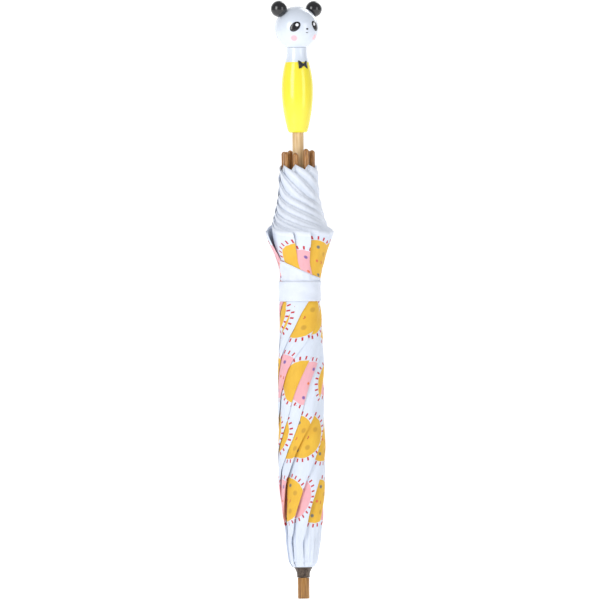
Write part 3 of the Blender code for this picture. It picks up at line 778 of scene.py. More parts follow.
heights = np.linspace(FOOT_ROUND, NECK_TOP, 72)
foot_arc = [
    (FOOT_RADIUS - FOOT_ROUND * (1 - math.sin(a)), HANDLE_FOOT + FOOT_ROUND * (1 - math.cos(a)))
    for a in np.linspace(0.0, math.pi / 2, 6)[:-1]
]
neck_top = HANDLE_FOOT + NECK_TOP
body_profile = [
    (0.0, HANDLE_FOOT + HANDLE_BORE_DEPTH),
    (HANDLE_BORE, HANDLE_FOOT + HANDLE_BORE_DEPTH),
    (HANDLE_BORE, HANDLE_FOOT),
    *foot_arc,
    *[(body_radius(h), HANDLE_FOOT + h) for h in heights],
    (DOWEL_RADIUS, neck_top),
    (DOWEL_RADIUS, neck_top + DOWEL_LENGTH),
    (0.0, neck_top + DOWEL_LENGTH),
]
two_colours = lacquer("yellow_and_white_lacquer", "#FCEB38", "#DDE5F1", PAINT_LINE)
handle = turn("handle_body_turned", body_profile, two_colours)
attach(handle, HANDLE_BODY)
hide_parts("handle_body")
print("handle body", round(2000 * WAIST_RADIUS, 1), "mm across")

# %% [markdown]
# ## The panda's head
# The head is a ball with a flat under it that rests on the neck. The panda looks along -Y. A place on
# the face is given by two angles, across and up from that direction, as on a globe. The cheeks are
# soft spots sprayed into the lacquer, so they belong to the head's material. The ears are smaller
# balls with a hollow that fits the head: a profile of two arcs, turned round the ear's own axis.

# %% Head and ears
HEAD_RADIUS = 24.0 * MM
HEAD_CENTRE = Vector((0.0, 0.0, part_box("handle_head")[1].z - HEAD_RADIUS))
GLUE_GAP = 0.3 * MM
CHEEKS = ((-37.0, -29.0), (36.0, -26.0))
CHEEK_RADIUS = 3.5 * MM
EAR_RADIUS = 9.0 * MM
EAR_DISTANCE = 30.4 * MM
EAR_ANGLE = math.radians(46.0)


def face_direction(across, up):
    """The unit vector from the head's middle to this place on the face, angles in degrees."""
    a, u = math.radians(across), math.radians(up)
    return Vector((math.sin(a) * math.cos(u), -math.cos(a) * math.cos(u), math.sin(u)))


def on_face(across, up, radius=HEAD_RADIUS):
    return HEAD_CENTRE + face_direction(across, up) * radius


white_head = lacquer(
    "white_lacquer",
    "#DDE5F1",
    patches=[(on_face(a, u), CHEEK_RADIUS, 1.0 * MM, "#F2BCC6") for a, u in CHEEKS],
)
seat = neck_top + GLUE_GAP
lowest = math.pi - math.asin(NECK_RADIUS / HEAD_RADIUS)
socket = DOWEL_RADIUS + GLUE_GAP
socket_floor = seat + DOWEL_LENGTH + GLUE_GAP
head_profile = [
    (HEAD_RADIUS * math.sin(a), HEAD_CENTRE.z + HEAD_RADIUS * math.cos(a))
    for a in np.linspace(0.0, lowest, 61)
]
head_profile[0] = (0.0, head_profile[0][1])
head_profile += [(socket, seat), (socket, socket_floor), (0.0, socket_floor)]
head = turn("handle_head_turned", head_profile, white_head)
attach(head, HANDLE_BODY)
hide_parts("handle_head")

black = lacquer("black_lacquer", "#0B0B10", roughness=0.16)
hollow = HEAD_RADIUS + GLUE_GAP
meet = (EAR_DISTANCE**2 + hollow**2 - EAR_RADIUS**2) / (2 * EAR_DISTANCE)
ear_turn = math.acos((meet - EAR_DISTANCE) / EAR_RADIUS)
head_turn = math.acos(meet / hollow)
ear_profile = [
    (EAR_RADIUS * math.sin(a), EAR_DISTANCE + EAR_RADIUS * math.cos(a))
    for a in np.linspace(0.0, ear_turn, 31)
]
ear_profile += [(hollow * math.sin(a), hollow * math.cos(a)) for a in np.linspace(head_turn, 0.0, 8)[1:]]
ear_profile[0], ear_profile[-1] = (0.0, ear_profile[0][1]), (0.0, hollow)
for node, side in (("left_ear", 1.0), ("right_ear", -1.0)):
    ear = turn(node + "_ball", ear_profile, black, steps=64)
    ear.data.transform(Matrix.Translation(HEAD_CENTRE) @ Matrix.Rotation(side * EAR_ANGLE, 4, "Y"))
    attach(ear, HANDLE_BODY)
    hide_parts(node)
print("head centre at", round(HEAD_CENTRE.z * 1000, 1), "mm")

# %% [markdown]
# ## Face
# Eyes, nose and mouth are painted with a thick gloss paint that stands a little above the
# lacquer, with a bright dot in each eye. Each one is a thin lens that follows the ball: rings round
# its centre, laid out on the tangent plane and then pushed back on to the sphere.

# %% Painted features
def face_lens(name, across, up, half_long, half_short, tilt, material, rise=0.35 * MM, bend=0.0):
    """A domed oval on the face; tilt turns its long axis up from the horizontal, in degrees, and
    bend lowers its middle for a smile."""
    out = face_direction(across, up)
    level = Vector((0, 0, 1)).cross(out).normalized()
    climb = out.cross(level)
    t = math.radians(tilt)
    long_way = level * math.cos(t) + climb * math.sin(t)
    short_way = climb * math.cos(t) - level * math.sin(t)
    rings, steps, sunk = 9, 48, 0.25 * MM
    turns = [2 * math.pi * k / steps for k in range(steps)]

    def point(share, angle, height):
        x = half_long * share * math.cos(angle)
        y = half_short * share * math.sin(angle) - bend * (1 - (x / half_long) ** 2)
        way = (out + (long_way * x + short_way * y) / HEAD_RADIUS).normalized()
        return HEAD_CENTRE + way * (HEAD_RADIUS + height)

    shares = [i / rings for i in range(rings + 1)]
    top = [(s, rise * math.sqrt(max(1 - s**4, 0.0)) - sunk * (s == 1.0)) for s in shares]
    bottom = [(s, -sunk - 0.4 * MM) for s in reversed(shares)]
    layers = [
        [point(share, a, height) for a in turns] if share else [point(0, 0, height)]
        for share, height in top + bottom
    ]
    lens = skinned(name, layers, material, smooth=50)
    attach(lens, HANDLE_BODY)
    return lens


white_dot = lacquer("white_eye_paint", "#F7F8FC", roughness=0.25)
# across, up and tilt of each eye, in degrees; the brush was not quite even
for word, across, up, tilt in (("left", 30.2, 4.5, 137.0), ("right", -32.8, 2.4, 39.0)):
    face_lens(f"{word}_eye", across, up, 7.5 * MM, 5.0 * MM, tilt, black)
    face_lens(
        f"{word}_eye_shine",
        across - math.copysign(5.2, across),
        up + 4.6,
        1.9 * MM,
        1.9 * MM,
        0.0,
        white_dot,
        rise=0.62 * MM,
    )
face_lens("nose", 0.0, -4.0, 1.5 * MM, 1.05 * MM, 0.0, black, rise=0.5 * MM)
face_lens("mouth", 0.0, -12.7, 1.5 * MM, 0.45 * MM, 0.0, black, rise=0.3 * MM, bend=0.5 * MM)

# %% [markdown]
# ## Bow tie
# A flat black satin bow is glued to the neck: two pleated wings and a knot. Each wing is a grid whose
# height grows from the knot outwards. It is bent round the neck, with folds that run to the knot.

# %% Bow
BOW_HEIGHT = 587.0 * MM
BOW_HALF_WIDTH = 5.6 * MM
BOW_KNOT_HALF, BOW_WING_HALF = 1.0 * MM, 4.4 * MM
BOW_STANDOFF = 0.35 * MM

satin, tree = new_finish("black_satin_ribbon")
# Satin weave: black, with a broad greyish sheen across the ribbon.
place = add(tree, "ShaderNodeTexCoord").outputs["Object"]
ribs = add(
    tree,
    "ShaderNodeTexWave",
    {"Vector": place, "Scale": 900.0, "Distortion": 0.6},
    bands_direction="Z",
)
ribbing = add(
    tree, "ShaderNodeBump", {"Strength": 0.2, "Distance": 0.00005, "Height": ribs.outputs["Fac"]}
)
weave_ramp = add(tree, "ShaderNodeValToRGB", {"Fac": ribs.outputs["Fac"]})
weave_ramp.color_ramp.elements[0].color = paint("#0C0C11")
weave_ramp.color_ramp.elements[1].color = paint("#24242C")
shader = add(
    tree,
    "ShaderNodeBsdfPrincipled",
    {
        "Base Color": weave_ramp.outputs["Color"],
        "Roughness": 0.4,
        "Sheen Weight": 0.35,
        "Sheen Roughness": 0.4,
        "Normal": ribbing.outputs["Normal"],
    },
)
add(tree, "ShaderNodeOutputMaterial", {"Surface": shader.outputs["BSDF"]})


def on_neck(x, z, lift):
    """A point on the front of the neck: x across, z up, lifted off the surface."""
    radius = body_radius(z - HANDLE_FOOT) + lift
    angle = -math.pi / 2 + x / radius
    return (radius * math.cos(angle), radius * math.sin(angle), z)


def closed_grid(name, point, columns, rows, thickness, material):
    """A grid of points (s, t in 0..1), given its thickness inwards by Solidify."""
    points = [point(i / columns, j / rows) for i in range(columns + 1) for j in range(rows + 1)]
    stride = rows + 1
    faces = [
        (i * stride + j, (i + 1) * stride + j, (i + 1) * stride + j + 1, i * stride + j + 1)
        for i in range(columns)
        for j in range(rows)
    ]
    mesh = bpy.data.meshes.new(name)
    mesh.from_pydata(points, [], faces)
    sheet = show(name, mesh, material)
    wall = sheet.modifiers.new("wall", "SOLIDIFY")
    wall.thickness, wall.offset = thickness, -1.0
    return sheet


def bow_wing(side):
    def point(s, t):
        x = side * (0.6 * MM + (BOW_HALF_WIDTH - 0.6 * MM) * s)
        half = BOW_KNOT_HALF + (BOW_WING_HALF - BOW_KNOT_HALF) * math.sin(s * math.pi / 2) ** 0.9
        z = BOW_HEIGHT + half * (2 * t - 1)
        pleat = 0.35 * MM * math.sin(3 * math.pi * t) ** 2 * (0.3 + 0.7 * (1 - s))
        puff = 0.9 * MM * math.sin(math.pi * t) * math.sin(math.pi * min(s * 1.1, 1.0))
        return on_neck(x, z, BOW_STANDOFF + pleat + puff)

    return settle(closed_grid("bow_wing", point, 20, 24, 0.4 * MM, satin))


def join(name, pieces):
    """Several meshes as one object."""
    work = bmesh.new()
    for piece in pieces:
        work.from_mesh(piece.data)
        bpy.data.objects.remove(piece)
    bmesh.ops.recalc_face_normals(work, faces=work.faces)
    mesh = bpy.data.meshes.new(name)
    work.to_mesh(mesh)
    work.free()
    return mesh


def bow_knot():
    work = bmesh.new()
    bmesh.ops.create_uvsphere(work, u_segments=24, v_segments=16, radius=1.0)
    mesh = bpy.data.meshes.new("bow_knot")
    for v in work.verts:
        x, y, z = v.co
        waist = 1.0 - 0.18 * math.cos(z * math.pi / 2)
        size = 1.25 * MM * abs(x) ** 0.8 * math.copysign(1, x) * waist
        v.co = on_neck(size, BOW_HEIGHT + 1.45 * MM * z, BOW_STANDOFF + 0.55 * MM - 0.9 * MM * y)
    work.to_mesh(mesh)
    work.free()
    return show("bow_knot", mesh, satin)


bow = show("bow_tie", join("bow_tie", [bow_wing(1.0), bow_wing(-1.0), bow_knot()]), satin, 60)
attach(bow, HANDLE_BODY)
print("bow", round(2000 * BOW_HALF_WIDTH, 1), "mm wide")

# %% [markdown]
# ## Cloth: the flat cut
# The canopy is sewn from eight gores of thin white polyester. A gore is a slim sector: a point on
# it has a distance `l` from the apex and an angle from its middle line, which runs from
# -SECTOR to +SECTOR. Its hem curves in between the seams, by 22 mm at the middle. Everything that
# follows, rolled petals, open dome, print and hem, is laid out in this flat cut, so the print sits
# on the cloth in the same place in both.

# %% Flat cut
SECTOR = math.radians(20.5)
SEAM_LENGTH = 443.0 * MM
MIDDLE_LENGTH = 393.0 * MM
HEM_CURVE = 1.7  # how suddenly the hem climbs to the seams
APEX_HEIGHT = 34.4 * MM
CLOTH_THICKNESS = 0.14 * MM
DOME_THICKNESS = 0.2 * MM
CUT_START = 0.5 * MM  # the gathered point is left out up to this distance from the apex


def hem_length(angle, seam=SEAM_LENGTH):
    """The distance from the apex to the hem at this angle from the gore's middle."""
    return MIDDLE_LENGTH + (seam - MIDDLE_LENGTH) * np.abs(angle / SECTOR) ** HEM_CURVE


def smoothstep(x):
    x = np.clip(x, 0.0, 1.0)
    return x * x * (3 - 2 * x)


# %% [markdown]
# ## Cloth: rolled petals
# When the umbrella is rolled, each gore is folded in half between its two ribs, and the double
# flap, or petal, is wound round the bundle. So each petal has an outer layer that starts at its own
# rib, an inner layer that starts at the next rib, and a fold where they meet. The wound layers lie
# one on another as in a spiral: the further a layer has gone round, the further out it lies.
# The rule is used directly, without a cloth simulation: the length of cloth between seam and fold
# gives the angle that the fold reaches.

# %% Shape of the roll
# height, radius at the ribs, radius at the folds, in mm
ROLL = np.array(
    [
        (34.3, 10.1, 10.6),
        (34.6, 11.2, 11.8),
        (35.3, 11.3, 12.6),
        (38.0, 12.0, 14.0),
        (40.0, 12.2, 15.4),
        (44.0, 12.5, 16.0),
        (51.0, 12.9, 17.0),
        (64.0, 13.1, 19.0),
        (78.0, 13.2, 20.5),
        (91.0, 13.4, 23.0),
        (110.0, 13.6, 24.0),
        (130.0, 13.8, 25.5),
        (163.0, 14.2, 26.0),
        (196.0, 14.6, 25.0),
        (262.0, 15.4, 25.0),
        (295.0, 15.8, 23.2),
        (315.0, 16.0, 22.6),
        (328.0, 16.1, 21.6),
        (338.0, 16.2, 21.4),
        (348.0, 16.4, 21.8),
        (357.0, 16.5, 24.2),
        (368.0, 16.6, 27.0),
        (381.0, 16.8, 29.0),
        (394.0, 16.9, 31.0),
        (405.0, 17.0, 33.0),
        (440.0, 17.5, 31.0),
        (460.0, 17.8, 34.0),
        (470.0, 18.2, 37.0),
        (474.0, 18.9, 39.0),
        (480.0, 19.0, 41.0),
    ]
)
# height, how much of the rise to the outer radius comes early round the roll
FLATTENING = np.array([(34.0, 0.7), (120.0, 0.65), (250.0, 0.35), (330.0, 0.1), (480.0, 0.0)])


def at_height(table, column, z):
    return np.interp(z, table[:, 0] * MM, table[:, column])


def spiral(share, z):
    """The radius of an outer layer after this share of its way from rib to fold."""
    inner, outer = at_height(ROLL, 1, z) * MM, at_height(ROLL, 2, z) * MM
    early = at_height(FLATTENING, 1, z)
    return inner + (outer - inner) * ((1 - early) * share + early * (1 - (1 - share) ** 2))


def wound_outer(turn_angle, full, z):
    """Arc length of an outer layer from its rib to this angle."""
    inner, outer = at_height(ROLL, 1, z) * MM, at_height(ROLL, 2, z) * MM
    early = at_height(FLATTENING, 1, z)
    x = turn_angle / full
    return full * (inner * x + (outer - inner) * ((1 - early) * x**2 / 2 + early * (x**2 - x**3 / 3)))


STEP = 2 * math.pi / RIB_COUNT


def inner_radius(turn_angle, full, z):
    """The radius of an inner layer, halfway between its neighbours once it has left its rib."""
    below = spiral(turn_angle / full, z)
    above = spiral(np.minimum((turn_angle + STEP) / full, 1.0), z)
    return below + (above - below) / 2 * smoothstep(turn_angle / math.radians(20.0))


GAUSS_X, GAUSS_W = np.polynomial.legendre.leggauss(8)


def wound_inner(turn_angle, full, z):
    """Arc length of an inner layer from its rib to this angle."""
    total = 0.0
    for x, w in zip(GAUSS_X, GAUSS_W):
        total = total + w * inner_radius(turn_angle * (x + 1) / 2, full, z)
    return total * turn_angle / 2


# %% Fold angle at each height
FOLD_Z = np.linspace(APEX_HEIGHT + 0.2 * MM, 402.5 * MM, 240)


def fold_tables():
    """For each height of the fold: its angle, the cloth's gathering, and the fold's own angle in
    the flat cut."""
    fulls, gathers, fold_angles = [], [], []
    for z in FOLD_Z:
        distance = (z - APEX_HEIGHT) / math.cos(SECTOR)
        cloth = 2 * distance * math.sin(SECTOR)
        low, high = STEP * 1.3, 4 * math.pi
        needed = wound_outer(low, low, z) + wound_inner(low - STEP, low, z)
        if cloth > needed:
            for _ in range(40):
                middle = (low + high) / 2
                used = wound_outer(middle, middle, z) + wound_inner(middle - STEP, middle, z)
                low, high = (middle, high) if used < cloth else (low, middle)
        full = low
        outer, inner = wound_outer(full, full, z), wound_inner(full - STEP, full, z)
        gather = (outer + inner) / cloth
        fulls.append(full)
        gathers.append(gather)
        sine = (outer - inner) / (gather * 2 * distance * math.cos(SECTOR))
        fold_angles.append(math.asin(max(-0.34, min(0.34, sine))))
    return np.array(fulls), np.array(gathers), np.array(fold_angles)


FULLS, GATHERS, FOLD_ANGLES = fold_tables()
print("folds reach", [round(math.degrees(f)) for f in FULLS[::40]], "degrees")
print("fold line in the cut", [round(math.degrees(f), 1) for f in FOLD_ANGLES[::40]], "degrees")

# %% [markdown]
# A petal is never a perfect spiral. One gentle field of waves, the same for all layers at one place
# so that they never pass through each other, wrinkles the whole roll. The cloth puffs a little
# between folds, the corners at the hem curl out, and each fold is round, not creased.

# %% Petal surface
CURL = 6.0 * MM
CURL_REACH = 14.0 * MM
PUFF = 0.7 * MM
SLUMP = 12.0 * MM
# how far each petal's fold strays from an even spiral at these heights, in degrees
STRAY_HEIGHTS = (60.0, 108.0, 175.0, 243.0, 310.0, 370.0, 402.0, 430.0)
STRAYS = {
    1: (0.0, -6.0, 12.0, -6.0, 18.0, 6.0, 2.0, -2.0),
    2: (0.0, -8.0, 4.0, -22.0, 6.0, 0.0, -6.0, 6.0),
    3: (0.0, -16.0, -20.0, -12.0, -6.0, -8.0, -10.0, -10.0),
    4: (0.0, -10.0, -8.0, 0.0, 0.0, 4.0, 4.0, 4.0),
    5: (0.0, -20.0, -14.0, 4.0, 6.0, 8.0, 10.0, 16.0),
    6: (0.0, -18.0, -10.0, 0.0, 12.0, 20.0, 20.0, 26.0),
    7: (0.0, -6.0, 0.0, 8.0, -2.0, 4.0, 4.0, 10.0),
    8: (0.0, 0.0, 4.0, -6.0, 22.0, 2.0, 2.0, 14.0),
}
# the strap's first turn climbs on one side, and the roll stays slim up to its upper edge:
# (angle from the camera's side of the roll, lift in mm)
SLIM_LIFT = np.array([(-180, 0), (-120, 6), (-80, 19), (-45, 18), (0, 11), (40, 5), (75, 1), (180, 0)])
FRONT = VIEW_AZIMUTH - math.pi / 2


def wrinkles(angle, z):
    """How far the whole roll stands out or in at this place."""
    h = z / MM
    strap = np.exp(-(((h - 338) / 16) ** 2))
    waves = (
        0.38 * np.sin(3 * angle + h / 31 + 0.7)
        + 0.30 * np.sin(5 * angle - h / 17 + 2.1)
        + 0.22 * np.sin(9 * angle + h / 11 + 4.0)
        + 0.14 * np.sin(14 * angle - h / 7.5 + 1.2)
    )
    pleats = 0.5 * np.sin(22 * angle + 0.5) * np.clip((100 - h) / 40, 0, 1)
    pleats = pleats * np.clip((h - 36) / 6, 0, 1)
    pinched = 0.45 * np.sin(19 * angle + h / 26) * (np.exp(-(((h - 338) / 30) ** 2)) - strap)
    return (waves * (1 - 0.85 * strap) * np.clip((h - 36) / 30, 0.1, 1) + pleats + pinched) * MM


def slump(share, distance):
    """How far the slack cloth by the hem sinks, at this share of the way from seam to fold."""
    depth = SLUMP * smoothstep((share - 0.07) / 0.23) * (1 - share**2)
    return depth * smoothstep((distance - 340 * MM) / (70 * MM))


def slimmed(radius, angle, z):
    """The radius where the strap's climbing turn still holds the roll in."""
    side = np.degrees((angle - FRONT + math.pi) % (2 * math.pi) - math.pi)
    lift = np.interp(side, SLIM_LIFT[:, 0], SLIM_LIFT[:, 1]) * MM
    lift = lift * smoothstep((z - 335 * MM) / (10 * MM)) * (1 - smoothstep((z - 372 * MM) / (26 * MM)))
    inner = at_height(ROLL, 1, z) * MM
    loose = at_height(ROLL, 2, z) * MM - inner
    held = at_height(ROLL, 2, z - lift) * MM - inner
    return inner + (radius - inner) * held / loose


def petal_points(number, distance, angle, outer_layer):
    """Positions on petal 1 to 8 of points of the flat cut, given as arrays."""
    z_fold = APEX_HEIGHT + distance * math.cos(SECTOR)
    fold = np.interp(z_fold, FOLD_Z, FOLD_ANGLES)
    gather = np.interp(z_fold, FOLD_Z, GATHERS)
    if outer_layer:
        off_seam = (SECTOR + angle) * SECTOR / (SECTOR + fold)
        length = gather * distance * np.sin(SECTOR + angle)
    else:
        off_seam = (SECTOR - angle) * SECTOR / (SECTOR - fold)
        length = gather * distance * np.sin(SECTOR - angle)
    z = APEX_HEIGHT + distance * np.cos(off_seam)
    z = z - slump(off_seam / SECTOR, distance)
    full = np.interp(z, FOLD_Z, FULLS)
    wound = wound_outer if outer_layer else wound_inner
    turned = length / (at_height(ROLL, 1, z) * MM * 1.2)
    for _ in range(12):
        ahead = (wound(turned + 1e-4, full, z) - wound(turned, full, z)) / 1e-4
        turned = turned - (wound(turned, full, z) - length) / ahead
    reach = full if outer_layer else full - STEP
    turned = np.clip(turned, 0.0, reach)
    to_fold = reach - turned
    if outer_layer:
        radius = spiral(turned / full, z)
        share = np.clip(to_fold / STEP, 0, 1)
        radius = radius + PUFF * np.sin(math.pi * share) * np.clip((z - 0.06) / 0.05, 0, 1)
        own_turn = turned
    else:
        radius = inner_radius(turned, full, z)
        closing = np.clip(1 - to_fold * radius / (3.0 * MM), 0, 1) ** 2
        radius = radius + (spiral(1.0, z) - radius) * closing
        own_turn = turned + STEP
    corner_z = APEX_HEIGHT + hem_length(0.0) * math.cos(SECTOR)
    from_corner = np.hypot((full - own_turn) * radius, z - corner_z)
    radius = radius + CURL * np.exp(-((from_corner / CURL_REACH) ** 2) / 2)
    # the mean over 40 mm rounds the corners of the table
    nearby = [np.interp(z / MM + d, STRAY_HEIGHTS, STRAYS[number]) for d in (-20, -10, 0, 10, 20)]
    stray = np.radians(np.mean(nearby, axis=0))
    own_turn = own_turn + stray * (own_turn / full) ** 2
    round_angle = rib_angle(number) + own_turn
    radius = slimmed(radius, round_angle, z)
    radius = radius + wrinkles(round_angle, z)
    return np.stack([radius * np.cos(round_angle), radius * np.sin(round_angle), z], -1)


# %% Petal meshes
ROWS, OUTER_COLUMNS, INNER_COLUMNS = 110, 60, 44


def cloth_mesh(name, points, across, along, hem, gore):
    """A grid mesh with the flat cut as its UV map, its print and its distance to the hem."""
    rows, columns = points.shape[:2]
    mesh = bpy.data.meshes.new(name)
    index = np.arange(rows * columns).reshape(rows, columns)
    quads = np.stack([index[:-1, :-1], index[:-1, 1:], index[1:, 1:], index[1:, :-1]], -1)
    mesh.from_pydata(points.reshape(-1, 3).tolist(), [], quads.reshape(-1, 4).tolist())
    corners = np.zeros(len(mesh.loops), np.int32)
    mesh.loops.foreach_get("vertex_index", corners)
    flat = np.stack([across.ravel(), along.ravel()], -1)[corners]
    mesh.uv_layers.new(name="flat_cut").data.foreach_set("uv", flat.astype(np.float32).ravel())
    for label, values in {"to_hem": hem, **sun_attributes(gore, along)}.items():
        attribute = mesh.attributes.new(label, "FLOAT", "POINT")
        attribute.data.foreach_set("value", values.astype(np.float32).ravel())
    return mesh


def petal_grid(number):
    """Points, flat cut and hem distance of one petal: outer layer, fold, inner layer."""
    share = np.linspace(0.0, 1.0, ROWS + 1)[:, None] ** 1.25
    parts = []
    for outer_layer, columns in ((True, OUTER_COLUMNS), (False, INNER_COLUMNS)):
        across = np.linspace(0.0, 1.0, columns + 1)[None, :]
        # finer columns towards the fold
        across = 1 - (1 - across) ** 1.3 if outer_layer else across**1.3
        angle = -SECTOR + across * SECTOR if outer_layer else across * SECTOR
        angle = angle + 0 * share  # the same angles for every row
        for _ in range(6):
            distance = CUT_START + share * (hem_length(angle) - CUT_START)
            fold = np.interp(APEX_HEIGHT + distance * math.cos(SECTOR), FOLD_Z, FOLD_ANGLES)
            if outer_layer:
                angle = -SECTOR + across * (fold + SECTOR)
            else:
                angle = fold + across * (SECTOR - fold)
        points = petal_points(number, distance, angle, outer_layer)
        data = [points, distance * np.sin(angle), distance * np.cos(angle), hem_length(angle) - distance]
        parts.append(data if outer_layer else [d[:, 1:] for d in data])
    return [np.concatenate(pair, axis=1) for pair in zip(*parts)]


print("petal grid", ROWS, "x", OUTER_COLUMNS + INNER_COLUMNS)

# %% [markdown]
# ## Cloth: the print
# The cloth is plain-woven polyester, white with a cool cast, printed with suns: yellow and pink
# discs ringed by short red rays, each with a face that lies on its side: two eyes, a dot for a
# nose, a small mouth and soft cheeks. A shader draws them from the flat cut, one sun in each cell.
# The rows are heights in the cut. Where a sun sits across its gore, and whether it is
# yellow or pink, comes with the mesh, because each gore was cut from another place of the roll.

# %% Where the suns are
# row: distance from the apex, in mm
SUN_ROWS = (77.0, 149.0, 220.0, 288.0, 354.0)
SUN_COLUMN = 66.0 * MM
# gore: for each row, place across the gore in mm, height above the row in mm, and 1 if it is pink
SUN_PLACES = {
    1: ((4, 0, 0), (-19, 2, 0), (11, -2, 0), (-20, 0, 0), (6, 0, 0)),
    2: ((-8, 2, 1), (-22, 0, 0), (6, -5, 1), (2, 2, 0), (-6, 2, 1)),
    3: ((4, 0, 1), (-6, 0, 0), (21, 0, 0), (-8, 0, 1), (0, -2, 0)),
    4: ((-11, -2, 0), (-17, -2, 0), (-4, 2, 1), (4, 0, 0), (-8, 4, 1)),
    5: ((-21, -1, 1), (-5, -3, 0), (6, 0, 0), (0, 2, 1), (0, 0, 1)),
    6: ((-7, -3, 0), (-8, 0, 1), (-2, 0, 1), (-20, 0, 0), (16, 2, 0)),
    7: ((0, 0, 1), (2, 2, 1), (4, 0, 0), (-26, -4, 0), (5, -8, 1)),
    8: ((5, 0, 1), (-4, 0, 0), (0, 2, 1), (-14, 0, 0), (-2, 2, 0)),
}


def sun_attributes(gore, along):
    """The place and the colour of the sun nearest to each point, as the attributes hold them."""
    rows = np.abs(along[..., None] / MM - np.array(SUN_ROWS)).argmin(-1)
    across, rise, pink = np.array(SUN_PLACES[gore], float).T
    return {"sun_shift": across[rows] * MM, "sun_rise": rise[rows] * MM, "sun_pink": pink[rows]}


# %% Printed cloth
SUN_RADIUS = 24.6 * MM
RAY_COUNT = 27
RAY_FROM, RAY_TO = 25.3 * MM, 29.4 * MM
RAY_HALF_WIDTH = 0.95 * MM
EDGE = 0.25 * MM  # how soft a printed edge is


# %% Sun print
def sun_print(tree, uv):
    """The colour of the cloth, drawn from the flat cut."""
    cut = add(tree, "ShaderNodeSeparateXYZ", {"Vector": uv})
    values = {"across": cut.outputs["X"], "along": cut.outputs["Y"]}
    # the disc's edge wavers by about a millimetre, as ink does on cloth
    waver = add(tree, "ShaderNodeTexNoise", {"Vector": uv, "Scale": 140.0})
    waver_size = {"Value": waver.outputs["Fac"], "To Min": -1.2 * MM, "To Max": 1.2 * MM}
    values["waver"] = add(tree, "ShaderNodeMapRange", waver_size).outputs[0]
    for label in ("sun_shift", "sun_rise", "sun_pink", "to_hem"):
        values[label] = add(tree, "ShaderNodeAttribute", attribute_name=label).outputs["Fac"]
    # the row's own distance from the apex, from a ramp with one step for each row
    ramp_length = 0.5
    ramp_place = add(tree, "ShaderNodeMath", {0: values["along"], 1: ramp_length}, operation="DIVIDE")
    row = add(tree, "ShaderNodeValToRGB", {"Fac": ramp_place.outputs[0]})
    row.color_ramp.interpolation = "CONSTANT"
    stops = row.color_ramp.elements
    bounds = [0.0] + [(a + b) / 2 * MM for a, b in zip(SUN_ROWS, SUN_ROWS[1:])]
    while len(stops) < len(bounds):
        stops.new(1.0)
    for stop, bound, height in zip(stops, bounds, SUN_ROWS):
        stop.position = bound / ramp_length
        stop.color = (height * MM, height * MM, height * MM, 1.0)
    values["row"] = row.outputs["Color"]
    # The Math nodes: a name for the result, the operation, and what goes in, by name or as a number.
    # First comes the place in a cell with one sun, and the distance from its middle.
    steps = [
        ("above_row", "SUBTRACT", "along", "row"),
        ("y", "SUBTRACT", "above_row", "sun_rise"),
        ("shifted", "SUBTRACT", "across", "sun_shift"),
        ("cells", "DIVIDE", "shifted", SUN_COLUMN),
        ("rounded_up", "ADD", "cells", 0.5),
        ("column", "FLOOR", "rounded_up"),
        ("column_place", "MULTIPLY", "column", SUN_COLUMN),
        ("x", "SUBTRACT", "shifted", "column_place"),
        ("x_squared", "MULTIPLY", "x", "x"),
        ("y_squared", "MULTIPLY", "y", "y"),
        ("squares", "ADD", "x_squared", "y_squared"),
        ("away", "SQRT", "squares"),
        # the next column has the other colour
        ("colour_turn", "ADD", "column", "sun_pink"),
        ("odd", "FLOORED_MODULO", "colour_turn", 2.0),
        ("pink", "GREATER_THAN", "odd", 0.5),
        # rays: the angle round the disc, counted in rays, gives the distance from the nearest one
        ("angle", "ARCTAN2", "y", "x"),
        ("rays_round", "MULTIPLY", "angle", RAY_COUNT / (2 * math.pi)),
        ("from_ray", "PINGPONG", "rays_round", 0.5),
        ("ray_turn", "MULTIPLY", "from_ray", 2 * math.pi / RAY_COUNT),
        ("beside_ray", "MULTIPLY", "ray_turn", "away"),
        ("from_band", "SUBTRACT", "away", (RAY_FROM + RAY_TO) / 2),
        ("along_ray", "ABSOLUTE", "from_band"),
        ("ray_end", "SUBTRACT", "along_ray", (RAY_TO - RAY_FROM) / 2 - RAY_HALF_WIDTH),
        ("ray_shape", "MAXIMUM", "beside_ray", "ray_end"),
        # the face lies on its side; its two halves are alike, so y loses its sign
        ("half_y", "ABSOLUTE", "y"),
        ("wavy_away", "ADD", "away", "waver"),
    ]
    for name, how, *sources in steps:
        inputs = {i: values.get(source, source) for i, source in enumerate(sources)}
        values[name] = add(tree, "ShaderNodeMath", inputs, operation=how).outputs[0]

    # uneven ink: each colour drifts a little over 10 to 20 mm; cheeks and eyes differ between suns
    ink = add(tree, "ShaderNodeTexNoise", {"Vector": uv, "Scale": 60.0, "Detail": 4.0})
    tints = {}
    for name, factor, first, second in (
        ("yellow", ink.outputs["Fac"], paint("#EFC33E"), paint("#DFA62A")),
        ("rose", ink.outputs["Fac"], paint("#F2B7BE"), paint("#E6A4AF")),
        ("cheek", values["pink"], paint("#C08F2E"), paint("#D8909C")),
        ("eye", values["pink"], paint("#5E6A70"), paint("#6A4FA0")),
    ):
        layer = {"Factor": factor, 6: first, 7: second}
        tints[name] = add(tree, "ShaderNodeMix", layer, data_type="RGBA").outputs[2]
    layer = {"Factor": values["pink"], 6: tints["yellow"], 7: tints["rose"]}
    tints["sun"] = add(tree, "ShaderNodeMix", layer, data_type="RGBA").outputs[2]
    # white cloth with faint cool clouds
    cloud = add(tree, "ShaderNodeTexNoise", {"Vector": uv, "Scale": 28.0, "Detail": 3.0})
    layer = {"Factor": cloud.outputs["Fac"], 6: paint("#E2E9F4"), 7: paint("#D3DCEC")}
    tints["cloth"] = add(tree, "ShaderNodeMix", layer, data_type="RGBA").outputs[2]

